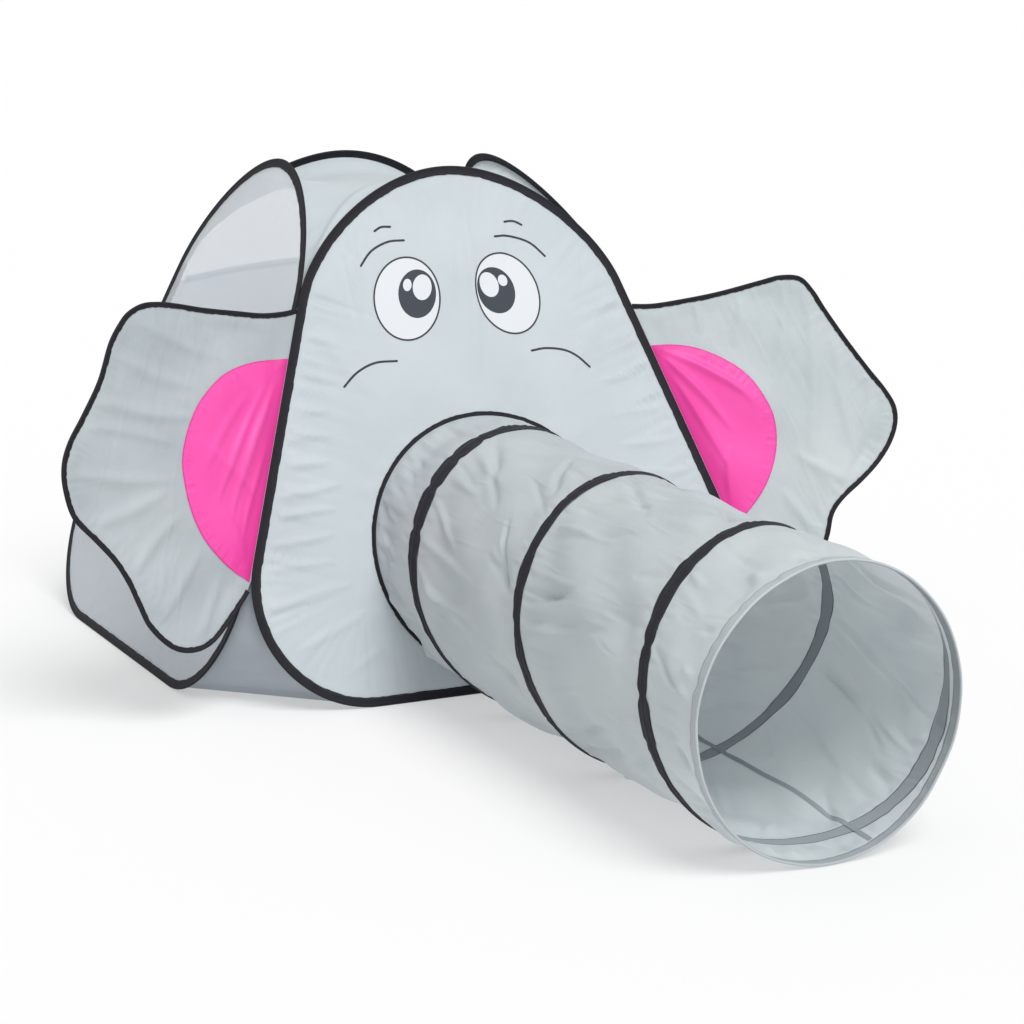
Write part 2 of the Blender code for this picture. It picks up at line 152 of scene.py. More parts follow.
def arch_line(count):
    start = np.array([side_line(ARCH_START), ARCH_START])
    lift = start + ARCH_LIFT * np.array([-SIDE_SLOPE, 1.0]) / SIDE_RUN
    t = np.linspace(0, 1, count)[:, None]
    level, top = np.array([ARCH_SPREAD, PANEL_RISE]), np.array([0, PANEL_RISE])
    line = (1 - t) ** 3 * start + 3 * (1 - t) ** 2 * t * lift
    return line + 3 * (1 - t) * t ** 2 * level + t ** 3 * top


def along(line):
    """How far each of a line's points lies from its start."""
    return np.concatenate([[0], np.cumsum(np.linalg.norm(np.diff(line, axis=0), axis=1))])


def evenly(line, count, closed=True):
    run = along(line)
    at = np.linspace(0, run[-1], count, endpoint=not closed)
    return np.stack([np.interp(at, run, line[:, axis]) for axis in range(line.shape[1])], 1)


def ring_of(rows):
    return np.append(rows, rows[:1], 0)


def mirrored(half):
    """A line from the foot on the right up to the middle, and on down the left."""
    return np.concatenate([half, half[-2::-1] * [-1, 1]])


def inward(line, closed=True):
    """Unit directions to the left of the way along a line, which is inwards on a line drawn anticlockwise."""
    if closed:
        way = np.roll(line, -1, 0) - np.roll(line, 1, 0)
    else:
        way = np.gradient(line, axis=0)
    way = way / np.linalg.norm(way, axis=1)[:, None]
    return np.stack([-way[:, 1], way[:, 0]], 1)


half_hoop = np.concatenate([[[0.0, RIM_BASE]], corner_line(60), arch_line(120)])
hoop = evenly(mirrored(half_hoop), 420)
hoop_in = inward(hoop)
hoop_length = float(along(ring_of(hoop))[-1])
print("hoop length", round(hoop_length, 3), "m")


# %% [markdown]
# ## How the cloth is laid
# A cloth piece starts as a flat grid whose UV map holds the cut cloth's own measures in metres, so
# the weave keeps its true scale. Each corner of the grid is then laid on the form. The cloth is a
# tenth of a millimetre thick, so it is one sheet, and light can pass through it as it does on the
# tent. Folds are drawn as soft ridges, with rounded crests and fading ends.

# %% sheets
def in_scene(name, data):
    obj = bpy.data.objects.new(name, data)
    bpy.context.scene.collection.objects.link(obj)
    return obj


def as_object(name, bm, material):
    mesh = bpy.data.meshes.new(name)
    bm.to_mesh(mesh)
    bm.free()
    mesh.materials.append(material)
    return in_scene(name, mesh)


def grid_sheet(name, spots, flat, material, inside=(0.0, 0.0, 0.45)):
    """A cloth with its corners at spots[row, column], and at flat[row, column] in the cut cloth. Its faces
    are turned away from a point inside."""
    rows, columns = spots.shape[0] - 1, spots.shape[1] - 1
    bm = bmesh.new()
    bmesh.ops.create_grid(bm, x_segments=columns, y_segments=rows, size=1.0)
    bm.verts.index_update()
    cells = [(round((v.co.y + 1) / 2 * rows), round((v.co.x + 1) / 2 * columns)) for v in bm.verts]
    layer = bm.loops.layers.uv.new("cut_cloth")
    for face in bm.faces:
        for loop in face.loops:
            loop[layer].uv = flat[cells[loop.vert.index]]
    for vert, cell in zip(bm.verts, cells):
        vert.co = spots[cell]
    bmesh.ops.remove_doubles(bm, verts=bm.verts[:], dist=0.000002)
    bmesh.ops.recalc_face_normals(bm, faces=bm.faces[:])
    if any(edge.is_boundary for edge in bm.edges):
        facing = sum((face.calc_center_median() - Vector(inside)).dot(face.normal) * face.calc_area()
                     for face in bm.faces)
        if facing < 0:
            bmesh.ops.reverse_faces(bm, faces=bm.faces[:])
    obj = as_object(name, bm, material)
    obj.data.shade_smooth()
    return obj


def dress(obj, body, nodes):
    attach(obj, body)
    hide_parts(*nodes)
    return obj


def cloth_area(obj):
    return sum(face.area for face in obj.data.polygons)


def mark_corners(obj, name, number_at):
    """Each corner keeps a number for the finish, worked out from its place in the cut cloth."""
    at = np.array([tuple(place.vector) for place in obj.data.uv_layers["cut_cloth"].uv])
    marks = obj.data.attributes.new(name, "FLOAT", "CORNER")
    marks.data.foreach_set("value", number_at(at[:, 0], at[:, 1]))


def fan(outline, inner, rings):
    """Rows of points from an inner point or ring out to an outline, closed round."""
    share = np.linspace(0, 1, rings + 1)[:, None, None]
    rows = inner + (outline - inner) * share
    return np.concatenate([rows, rows[:, :1]], 1)


# %% folds
def crease(s, t, start, end, width, depth, sway=0.0):
    """The height of one fold along a line from start to end; sway bows it sideways."""
    (x0, y0), (x1, y1) = start, end
    length = hypot(x1 - x0, y1 - y0)
    along = ((s - x0) * (x1 - x0) + (t - y0) * (y1 - y0)) / length ** 2
    across = ((s - x0) * (y1 - y0) - (t - y0) * (x1 - x0)) / length + sway * np.sin(pi * along)
    fade = np.sin(pi * np.clip(along, 0, 1)) ** 0.8
    return depth * fade * np.exp(-(across / (width * (0.55 + 0.45 * fade))) ** 2)


def in_metres(rows):
    """Folds listed in thousandths: where they start, where they end, their width, depth and sway."""
    rows = [[number / 1000 for number in row] for row in rows]
    return [((a, b), (c, d), *rest) for a, b, c, d, *rest in rows]


def ripple(x, seed, short, long, count=7):
    """Uneven waves along a line, between -1 and 1 or so, from short to long in metres."""
    rng = np.random.default_rng(seed)
    lengths = np.geomspace(short, long, count)
    parts = [rng.uniform(0.5, 1.0) * np.cos(2 * pi * x / l + rng.uniform(0, 2 * pi)) for l in lengths]
    return sum(parts) / (0.62 * count ** 0.5 * 1.25)


def drift(s, t, seed, short, long, count=9):
    """A soft unevenness over a plane, waves in all directions."""
    rng = np.random.default_rng(seed)
    total = 0.0
    for length in np.geomspace(short, long, count):
        way, start = rng.uniform(0, 2 * pi, 2)
        wave = np.cos(2 * pi * (s * cos(way) + t * sin(way)) / length + start)
        total = total + wave * (length / long) ** 0.5
    return total / count ** 0.5


def kinks(x, seed, step):
    """Uneven, angular variation along a line, between -1 and 1, as a gathered ribbon's edge has."""
    rng = np.random.default_rng(seed)
    count = int((x.max() - x.min()) / step * 1.3) + 8
    knots = x.min() - step + np.cumsum(rng.uniform(0.35, 1.65, count) * step)
    return np.interp(x, knots, rng.uniform(-1, 1, len(knots)))


def rise(x, start, end):
    """0 before start, 1 after end, eased between."""
    share = np.clip((x - start) / (end - start), 0, 1)
    return share * share * (3 - 2 * share)


def nearest(s, t, line):
    """How far each point is from a line's points, and which of them is nearest."""
    points = np.stack([s.ravel(), t.ravel()], 1)
    gap = np.empty(len(points))
    which = np.empty(len(points), int)
    for start in range(0, len(points), 8192):
        block = points[start:start + 8192]
        far = np.linalg.norm(block[:, None] - line[None], axis=2)
        which[start:start + 8192] = far.argmin(1)
        gap[start:start + 8192] = far.min(1)
    return gap.reshape(s.shape), which.reshape(s.shape)


def puckers(s, t, line, length, seed, depth, reach, short=0.022, long=0.070):
    """Short folds that run in from a sewn edge, where the tape has gathered the cloth."""
    gap, which = nearest(s, t, line)
    along = which * length / len(line)
    strength = rise(gap, TAPE_WIDTH - 0.001, TAPE_WIDTH + 0.020) * np.exp(-(gap / reach) ** 1.5)
    return depth * strength * ripple(along, seed, short, long), gap


# %% [markdown]
# ## Finishes
# Every finish is mixed from noise and waves on the piece's own UV map, which is in metres. Real
# taffeta has about 70 threads to the centimetre and tent mesh has holes of under a millimetre; both
# are far finer than can be seen from where the tent is seen, so they are drawn a few times coarser.

# %% node helpers
def linear(code):
    """A hex colour as the eye reads it, turned into linear light."""
    parts = [int(code[i:i + 2], 16) / 255 for i in (0, 2, 4)]
    return [p / 12.92 if p <= 0.04045 else ((p + 0.055) / 1.055) ** 2.4 for p in parts] + [1.0]


def add_node(tree, kind, values=None, links=None, **settings):
    node = tree.nodes.new(kind)
    for key, value in settings.items():
        setattr(node, key, value)
    for key, value in (values or {}).items():
        node.inputs[key].default_value = value
    for key, source in (links or {}).items():
        tree.links.new(source, node.inputs[key])
    return node


def new_material(name):
    material = bpy.data.materials.new(name)
    material.use_nodes = True
    material.node_tree.nodes.clear()
    return material, material.node_tree


def cut_cloth(tree):
    """The socket that gives a place in the cut cloth."""
    return add_node(tree, "ShaderNodeUVMap").outputs["UV"]


def finish(material, tree, surface):
    add_node(tree, "ShaderNodeOutputMaterial", links={"Surface": surface})
    return material


def either(terms):
    """Node inputs given as plain numbers or as sockets, told apart."""
    sockets = {key: term for key, term in terms.items() if isinstance(term, bpy.types.NodeSocket)}
    return {key: term for key, term in terms.items() if key not in sockets}, sockets


def maths(tree, operation, *terms):
    """The result of one sum on sockets or plain numbers."""
    return add_node(tree, "ShaderNodeMath", *either(dict(enumerate(terms))), operation=operation).outputs[0]


def blend(tree, share, first, second):
    """Two colours, as hex or as sockets, mixed by a socket."""
    first, second = (linear(colour) if isinstance(colour, str) else colour for colour in (first, second))
    terms = either({0: share, 6: first, 7: second})
    return add_node(tree, "ShaderNodeMix", *terms, data_type="RGBA").outputs[2]


def layered(tree, share, first, second):
    """Two shaders, mixed by a number or a socket."""
    terms = either({0: share, 1: first.outputs[0], 2: second.outputs[0]})
    return add_node(tree, "ShaderNodeMixShader", *terms)


def ramp(tree, value, start, end, low=0.0, high=1.0):
    """low up to start and high from end on, straight between."""
    values = {"From Min": start, "From Max": end, "To Min": low, "To Max": high}
    return add_node(tree, "ShaderNodeMapRange", values, {"Value": value}).outputs["Result"]


def noise(tree, place, scale, detail, rough=0.5, twist=0.0, kind="FBM"):
    values = {"Scale": scale, "Detail": detail, "Roughness": rough, "Distortion": twist}
    return add_node(tree, "ShaderNodeTexNoise", values, {"Vector": place}, noise_type=kind).outputs["Fac"]


def bump(tree, height, strength, distance, over=None):
    values = {"Strength": strength, "Distance": distance}
    links = {"Height": height, "Normal": over} if over else {"Height": height}
    return add_node(tree, "ShaderNodeBump", values, links).outputs["Normal"]


# %% thread and stitch patterns
def threads(tree, flat, pitch):
    """Crossed threads of a plain weave, as heights from 0 to 1."""
    warp, weft = (add_node(tree, "ShaderNodeTexWave",
                           {"Scale": pi / (10 * pitch), "Distortion": 0.6, "Detail": 1.0},
                           {"Vector": flat}, bands_direction=way).outputs["Fac"] for way in "XY")
    return maths(tree, "MULTIPLY", warp, weft)


STITCH = 0.0032
STITCH_HALF = 0.00045


def stitch_row(tree, flat, depth):
    """1 on the stitches of one sewn line at that depth of the UV map, 0 elsewhere."""
    parts = add_node(tree, "ShaderNodeSeparateXYZ", links={"Vector": flat})
    off = maths(tree, "ABSOLUTE", maths(tree, "SUBTRACT", maths(tree, "ABSOLUTE", parts.outputs["Y"]), depth))
    on_line = maths(tree, "LESS_THAN", off, STITCH_HALF)
    beat = maths(tree, "FRACT", maths(tree, "DIVIDE", parts.outputs["X"], STITCH))
    return maths(tree, "MULTIPLY", on_line, maths(tree, "LESS_THAN", beat, 0.68))


# %% [markdown]
# ### Woven polyester taffeta
# Calendered taffeta, woven from flat filament and coated on one side. It looks smooth and matt with
# a faint sheen, keeps small sharp creases from being packed folded, and lets a third of the light
# through, so that its far side and what is sewn behind it show softly. Where a black tape lies close
# behind it, painted shade darkens the cloth, for the light that the tape keeps out. A pink lining gets
# painted shade beside its hinge and along its seam.

# %% taffeta
def taffeta(name, colour, deep, see_through, crumple=1.0, rough=0.58, painted_tape_shade=None, drawn=0.0, sewn=(),
            painted_lining_shade=None):
    """painted_tape_shade names an attribute that is under 1 where black tape lies on the cloth; there painted
    shade darkens the cloth, most along the tape's edges. drawn is the strength of long sharp folds, and sewn
    holds the depths of stitch lines. painted_lining_shade is the deeper colour of painted shade on a lining,
    beside the hinge and along its seam."""
    material, tree = new_material(name)
    flat = cut_cloth(tree)
    tint = blend(tree, ramp(tree, noise(tree, flat, 5.0, 3.0), 0.35, 0.65), colour, deep)
    normal = bump(tree, noise(tree, flat, 9.0, 5.0, 0.6, 0.8), 0.45 * crumple, 0.0030)
    fine = noise(tree, flat, 26.0, 4.0, 0.55, 0.35, "RIDGED_MULTIFRACTAL")
    normal = bump(tree, fine, 0.16 * crumple, 0.0006, normal)
    if drawn:
        turned = {"Rotation": (0.0, 0.0, radians(14)), "Scale": (34.0, 6.5, 1.0)}
        long_way = add_node(tree, "ShaderNodeMapping", turned, {"Vector": flat})
        folds = noise(tree, long_way.outputs["Vector"], 1.0, 2.5, 0.5, 0.9, "RIDGED_MULTIFRACTAL")
        normal = bump(tree, folds, drawn, 0.0024, normal)
    normal = bump(tree, threads(tree, flat, 0.0012), 0.25, 0.00006, normal)
    for depth in sewn:
        tint = blend(tree, stitch_row(tree, flat, depth), tint, "8f979d")
    # Painted shade: under the black tape the cloth is coloured darker, darkest along the tape's edges, for
    # the light that the tape blocks.
    if painted_tape_shade:
        near = add_node(tree, "ShaderNodeAttribute", attribute_name=painted_tape_shade).outputs["Fac"]
        under = blend(tree, ramp(tree, near, 0.82, 0.90), "b0b8bd", "666d73")
        tint = blend(tree, ramp(tree, near, 1.03, 0.97), tint, under)
    # Painted shade: the lining is coloured deeper beside the hinge, where the hoop shades it, and in a thin
    # line along its seam, the shadow of its raised edge.
    if painted_lining_shade:
        place = add_node(tree, "ShaderNodeSeparateXYZ", links={"Vector": flat})
        near = add_node(tree, "ShaderNodeAttribute", attribute_name="to_seam").outputs["Fac"]
        most = maths(tree, "MAXIMUM", ramp(tree, place.outputs["X"], 0.048, 0.0, high=0.9),
                     ramp(tree, near, 0.0036, 0.0012, high=0.8))
        tint = blend(tree, most, tint, painted_lining_shade)
    sheen = {"Specular IOR Level": 0.28, "Sheen Weight": 0.06, "Sheen Roughness": 0.4}
    face = add_node(tree, "ShaderNodeBsdfPrincipled", {"Roughness": rough, **sheen},
                    {"Base Color": tint, "Normal": normal})
    back = add_node(tree, "ShaderNodeBsdfTranslucent", links={"Color": tint, "Normal": normal})
    return finish(material, tree, layered(tree, see_through, face, back).outputs[0])


TAFFETA = "woven polyester taffeta, "
grey_taffeta = taffeta(TAFFETA + "grey", "cfd7da", "c9d1d5", 0.32)
# Painted light: the back's cloth is the grey taffeta coloured lighter, for the light that shines through it
# from behind.
back_taffeta = taffeta(TAFFETA + "grey, back", "d6dfe7", "d0dae2", 0.55)
# Painted shade: the floor sheet is the grey taffeta coloured darker, for the shade inside the tent.
floor_taffeta = taffeta(TAFFETA + "grey, floor", "a3adb4", "9ca6ad", 0.20, 1.6)
# Painted shade: the corners' cloth is the grey taffeta coloured darker, for the shade low in the tent's
# corners.
gusset_taffeta = taffeta(TAFFETA + "grey, corners", "a9b1b8", "a2aab1", 0.22)
# The tunnel's cloth gets painted shade where the coil's tape lies on it.
tunnel_taffeta = taffeta(TAFFETA + "grey, tunnel", "ccd3d5", "c5cdd0", 0.32, 1.3, 0.48, "to_tape", 1.0)
# Painted shade: the ears' cloth is the grey taffeta coloured darker than the face's, and the left ear darker
# than the right, for the light that falls on them less.
ear_taffeta = {"left": taffeta(TAFFETA + "grey, left ear", "b5bcc0", "a8b0b4", 0.24, 1.9, 0.50, drawn=0.8),
               "right": taffeta(TAFFETA + "grey, right ear", "c1c8ca", "b6bfc2", 0.26, 1.9, 0.50, drawn=0.8)}
# Painted shade: the hem's cloth is the tunnel's taffeta coloured darker, as its layers let less light
# through, and more so on its inner leg.
folded_taffeta = taffeta(TAFFETA + "grey, in layers", "b9c0c3", "b0b8bc", 0.10, 1.8,
                         painted_tape_shade="to_tape", sewn=(0.0172, 0.0128))
seam_taffeta = taffeta(TAFFETA + "grey, felled seam", "959da2", "8d959a", 0.04, 1.0)
# The lining's deeper pink beside the hinge and along its seam is painted shade.
pink_taffeta = taffeta(TAFFETA + "pink", "f85ab0", "f24fa8", 0.14, 0.8, 0.44, painted_lining_shade="d42c8b")
print("taffeta ready")


# %% [markdown]
# ### Knitted polyester mesh
# The side windows are warp-knitted mesh, with small holes between white threads. From a few metres
# the holes run together into a white veil that shows what is behind it, so each layer is a pattern
# of holes that lets a good half of the light straight through.

# %% mesh
def knitted_mesh(name, colour, cover):
    """cover is the yarns' share of the cloth, on average."""
    material, tree = new_material(name)
    flat = cut_cloth(tree)
    yarn = ramp(tree, threads(tree, flat, 0.0016), 0.0, 0.55, cover + 0.16, cover - 0.16)
    thread = add_node(tree, "ShaderNodeBsdfPrincipled",
                      {"Base Color": linear(colour), "Roughness": 0.6, "Specular IOR Level": 0.2})
    glow = add_node(tree, "ShaderNodeBsdfTranslucent", {"Color": linear(colour)})
    hole = add_node(tree, "ShaderNodeBsdfTransparent")
    return finish(material, tree, layered(tree, yarn, hole, layered(tree, 0.4, thread, glow)).outputs[0])


white_mesh = knitted_mesh("warp-knitted polyester mesh, white", "f8fbff", 0.58)


# %% [markdown]
# ### Binding tape, spring wire and printing ink
# The tape is a woven polypropylene-and-polyester bias tape, folded over the wire and sewn through
# with one row near its edge. The wire is drawn spring steel with a thin zinc coat. The face is
# screen-printed, with an ink that lies flat and dull on the cloth.

# %% tape, wire and ink
def binding_tape(name, colour, deep, width, crumple):
    material, tree = new_material(name)
    flat = cut_cloth(tree)
    worn = noise(tree, flat, 60.0, 4.0, 0.6)
    sewn = stitch_row(tree, flat, width - 0.0022)
    weave = maths(tree, "SUBTRACT", maths(tree, "MULTIPLY", threads(tree, flat, 0.0011), 0.3), sewn)
    shader = add_node(tree, "ShaderNodeBsdfPrincipled", {"Roughness": 0.62, "Specular IOR Level": 0.16},
                      {"Base Color": blend(tree, sewn, blend(tree, worn, colour, deep), "3c3c42"),
                       "Normal": bump(tree, weave, 0.5, 0.0004, bump(tree, worn, crumple, 0.0012))})
    return finish(material, tree, shader.outputs[0])


def plain(name, colour, roughness, metallic=0.0):
    """One colour with a fine grain in its surface."""
    material, tree = new_material(name)
    place = add_node(tree, "ShaderNodeTexCoord").outputs["Object"]
    grain = bump(tree, noise(tree, place, 900.0, 2.0), 0.4, 0.00003)
    shader = add_node(tree, "ShaderNodeBsdfPrincipled",
                      {"Base Color": linear(colour), "Roughness": roughness, "Metallic": metallic,
                       "Specular IOR Level": 0.3}, {"Normal": grain})
    return finish(material, tree, shader.outputs[0])


SPIRAL_HALF = 0.0152
hoop_tape = binding_tape("folded bias tape, black", "1c1c20", "26262c", TAPE_WIDTH, 0.45)
spiral_tape = binding_tape("gathered bias tape, black", "1e1e23", "2f2f36", SPIRAL_HALF, 1.0)
steel = plain("zinc-coated spring steel", "b9bcc0", 0.32, 1.0)
white_ink = plain("screen-print ink, white", "ced1d5", 0.6)
iris_ink = plain("screen-print ink, slate", "373d45", 0.6)
line_ink = plain("screen-print ink, charcoal", "323439", 0.6)
print("materials", len(bpy.data.materials))


# %% [markdown]
# ## Folded tape and its wire
# On the real tent, the tape is folded round the hoop and the panel's edge, and one seam holds all of
# them. The section here is that fold: a round bulge over the wire, then two flat legs with the panel
# between them. Its free edges wander a little, as sewn tape does.

# %% folded tape
def fold_profile(width):
    """Cut through the fold as (in from the rim, off the panel), out over the wire and back inside."""
    outer = [(0, 0), (0.25, 0.95), (0.8, 1.7), (1.6, 2.2), (2.5, 2.35), (3.5, 2.2), (4.6, 1.65), (6.0, 1.25)]
    last = width * 1000
    outer += [(last * 0.62, 1.15), (last * 0.82, 1.2), (last, 1.1)]
    inner = [(last, 0.45), (last * 0.7, 0.45), (5.0, 0.55), (4.0, 1.35), (2.35, 1.6), (1.1, 1.1), (0.7, 0.0)]
    loop = [(d, -o) for d, o in outer[::-1]] + outer[1:] + inner + [(d, -o) for d, o in inner[-2::-1]]
    return np.array(loop) / 1000


def fold_round(line, line_in, width, seed, closed=True, wander=0.0006):
    """Points of the fold, [section, along], as (s, t, off); and their places in the flat tape."""
    profile = fold_profile(width)
    if closed:
        line, line_in = ring_of(line), ring_of(line_in)
    run = along(line)
    wave = ripple(run, seed, 0.012, 0.09) * wander
    lift = np.abs(ripple(run, seed + 1, 0.009, 0.04)) * wander * 0.7
    pressed = 1.0
    if closed:
        wave = wave * rise(run, 0, 0.03) * rise(run[-1] - run, 0, 0.03)
        lift[-1] = lift[0]
    else:
        pressed = 0.3 + 0.7 * rise(np.minimum(run, run[-1] - run), 0.0, 0.016)
    deep = profile[:, 0] / profile[:, 0].max()
    depth = profile[:, :1] + wave * (deep ** 3)[:, None]
    outside = np.sign(profile[:, 1]) * (np.abs(profile[:, 1]) > 0.0009)
    off = (profile[:, 1:] + lift * (outside * deep ** 2)[:, None]) * pressed
    depth, off = ring_of(depth), ring_of(off)
    s = line[:, 0] + depth * line_in[:, 0]
    t = line[:, 1] + depth * line_in[:, 1]
    flat = np.stack([np.broadcast_to(run, depth.shape), np.sign(off) * depth], -1)
    return s, t, off, flat


ROUND_WIRE = np.linspace(0, 2 * pi, 11)[:, None]


def wire_round(line, line_in, closed=True):
    """Points of a wire that runs inside the fold, as (s, t, off)."""
    if closed:
        line, line_in = ring_of(line), ring_of(line_in)
    depth = WIRE_INSET + WIRE_RADIUS * np.cos(ROUND_WIRE)
    s, t = line[:, 0] + depth * line_in[:, 0], line[:, 1] + depth * line_in[:, 1]
    return s, t, np.broadcast_to(WIRE_RADIUS * np.sin(ROUND_WIRE), s.shape)


def wire_piece(name, spots, body, node):
    flat = np.zeros(spots.shape[:2] + (2,))
    return dress(grid_sheet(name, spots, flat, steel), body, [node])


for index, side in enumerate(PANELS):
    s, t, off, flat = fold_round(hoop, hoop_in, TAPE_WIDTH, 20 + index)
    tape = grid_sheet(f"{side}_hoop_tape", on_panel(side, s, t, off), flat, hoop_tape)
    dress(tape, "tent", [f"binding_{side}"])
    s, t, off = wire_round(hoop, hoop_in)
    wire_piece(f"{side}_hoop_wire", on_panel(side, s, t, off), "tent", f"hoop_wire_{side}")

# %% [markdown]
# ## The face
# The front panel is one piece of grey taffeta, sewn into its hoop's tape all round. Drawn taut by the
# hoop, it still shows narrow folds that hang from the arch, a broad one down the middle of the
# forehead and short drag lines beside the tape, closest together at the lower left.

# %% the face's folds
FACE_FOLDS = in_metres([
    (-262, 880, -246, 715, 6, 2, 4), (-238, 905, -219, 700, 5.5, 3, 3), (-214, 918, -203, 752, 5, 2.6, -3),
    (-190, 930, -182, 830, 5, 1.6, 2), (20, 955, 4, 600, 13, 4.2, 6), (-12, 930, -22, 720, 9, 2, -4),
    (101, 925, 84, 800, 6, 1.6, 3), (252, 880, 232, 730, 7, 2.2, 3), (282, 850, 272, 720, 6, 1.4, 2),
    (-372, 700, -270, 668, 8, 1.8, 4), (-398, 620, -280, 600, 8.5, 2.2, 4),
    (-418, 560, -300, 548, 8, 2.4, -4), (-440, 500, -300, 500, 8.5, 2.8, 5),
    (-455, 446, -310, 452, 8, 3, 4), (-468, 400, -300, 412, 8.5, 3.4, -5),
    (-480, 352, -315, 366, 7.5, 3.4, 5), (-490, 312, -320, 322, 8, 3, -4),
    (-498, 262, -330, 270, 8, 2.6, 4), (-490, 190, -300, 228, 9, 2.4, 4),
    (-455, 110, -275, 180, 9, 2.2, -4), (-345, 60, -230, 120, 8, 1.8, 3), (352, 580, 255, 566, 7.5, 1.8, 3),
    (385, 505, 270, 494, 7.5, 2.2, -4), (405, 445, 280, 440, 8, 2.4, 4), (425, 380, 290, 388, 8, 2.2, 4),
    (450, 300, 300, 318, 8, 2, -4), (445, 180, 270, 210, 9, 1.8, 4), (-200, 560, -330, 745, 16, 2.2, 10),
    (180, 560, 300, 745, 16, 1.8, -8),
])


def face_height(s, t):
    """How far the face's cloth stands off its plane."""
    folds = 1.35 * sum(crease(s, t, *fold) for fold in FACE_FOLDS)
    pinch, gap = puckers(s, t, hoop, hoop_length, 31, 0.0021, 0.080)
    pinch = pinch * (1 - 0.60 * rise(t, 0.72, 0.84)) * (0.25 + 0.75 * rise(t, 0.06, 0.16))
    inner = np.hypot(s - OPENING_SHIFT, t - OPENING_HEIGHT) - OPENING_RADIUS
    angle = np.arctan2(s - OPENING_SHIFT, t - OPENING_HEIGHT)
    ring = 0.0011 * ripple(angle * OPENING_RADIUS, 33, 0.035, 0.110) * rise(inner, 0.010, 0.030)
    ring = ring * np.exp(-(inner / 0.055) ** 1.5)
    free = rise(gap, TAPE_WIDTH - 0.001, TAPE_WIDTH + 0.030) * rise(inner, 0.010, 0.040)
    return (folds + 0.0016 * drift(s, t, 35, 0.16, 0.50)) * free + pinch * rise(inner, 0.010, 0.040) + ring


# %% the face's cloth
edge = hoop + EDGE_IN_TAPE * hoop_in
ring_centre = np.array([OPENING_SHIFT, OPENING_HEIGHT])
face_edge = evenly(ring_of(edge), 600)
to_edge = (face_edge - ring_centre) / np.linalg.norm(face_edge - ring_centre, axis=1)[:, None]
face_flat = fan(face_edge, ring_centre + (OPENING_RADIUS + EDGE_IN_OPENING_TAPE) * to_edge, 130)
face_n = face_height(face_flat[..., 0], face_flat[..., 1])
face = grid_sheet("face_cloth", on_panel("front", face_flat[..., 0], face_flat[..., 1], face_n),
                  face_flat, grey_taffeta)
dress(face, "tent", ["face_panel"])
highest = float(np.abs(face_n).max()) * 1000
print("face cloth", round(cloth_area(face), 3), "m2, folds up to", round(highest, 1), "mm")

# %% the opening's ring
turns = np.linspace(0, 2 * pi, 240, endpoint=False)
ring = ring_centre + OPENING_RADIUS * np.stack([np.cos(turns), np.sin(turns)], 1)
ring_out = -inward(ring)
s, t, off, flat = fold_round(ring, ring_out, OPENING_TAPE_WIDTH, 40, wander=0.0004)
opening = grid_sheet("opening_tape", on_panel("front", s, t, off), flat, hoop_tape)
dress(opening, "tent", ["opening_binding"])
s, t, off = wire_round(ring, ring_out)
wire_piece("opening_ring_wire", on_panel("front", s, t, off), "tent", "opening_wire")

# %% [markdown]
# ## The printed face
# Two white eyes with slate irises and white highlights, two brow lines over each and one cheek line
# beside each, all printed straight on the cloth. The prints lie on the face's own folds.

# %% printing on the face
# The prints lie this far off the cloth, so that each shows over the one under it
WHITE_LIFT = 0.00025
LINE_LIFT = 0.00035
IRIS_LIFT = 0.00045
TOP_LIFT = 0.00065
EYE_SIZE = (0.0655, 0.0797)
BRUSH = 0.0042
face_tree = BVHTree.FromPolygons([v.co for v in face.data.vertices], [p.vertices for p in face.data.polygons])
face_out = Vector(PANELS["front"][:3, 2])


def printed(name, s, t, lift, material):
    """A print laid on the face's cloth, which it meets straight behind each of its points."""
    spots = on_panel("front", s, t, 0.05 + 0 * s)
    for row in spots:
        for spot in row:
            met = face_tree.ray_cast(Vector(spot), -face_out, 0.1)[0]
            spot[:] = met + face_out * lift
    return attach(grid_sheet(name, spots, np.stack([s, t], -1), material), "tent")


def oval(centre, across, up, lean, grow=0.0):
    """An ellipse's outline that leans by so many degrees to the right, grown by a margin."""
    turn = np.linspace(0, 2 * pi, 96, endpoint=False)
    x, y = (across + grow) * np.cos(turn), (up + grow) * np.sin(turn)
    a = radians(-lean)
    return np.stack([centre[0] + x * cos(a) - y * sin(a), centre[1] + x * sin(a) + y * cos(a)], 1)


def printed_disc(name, centre, across, up, lean, lift, material, rings=14):
    rows = fan(oval(centre, across, up, lean), np.array(centre), rings)
    return printed(name, rows[..., 0], rows[..., 1], lift, material)


def flowing(points, steps=24, run_on=False):
    """A smooth line through a few given points. Its ends start level, or run on in their own direction."""
    given = np.array(points, float)
    wide = np.concatenate([given[:1], given, given[-1:]])
    if run_on:
        wide[0], wide[-1] = 2 * given[0] - given[1], 2 * given[-1] - given[-2]
    t = np.linspace(0, 1, steps, endpoint=False)[:, None]
    run = []
    for a, b, c, d in zip(wide, wide[1:], wide[2:], wide[3:]):
        bend, twist = 2 * a - 5 * b + 4 * c - d, 3 * b - a - 3 * c + d
        run.append((2 * b + (c - a) * t + bend * t ** 2 + twist * t ** 3) / 2)
    return np.concatenate(run + [given[-1:]])


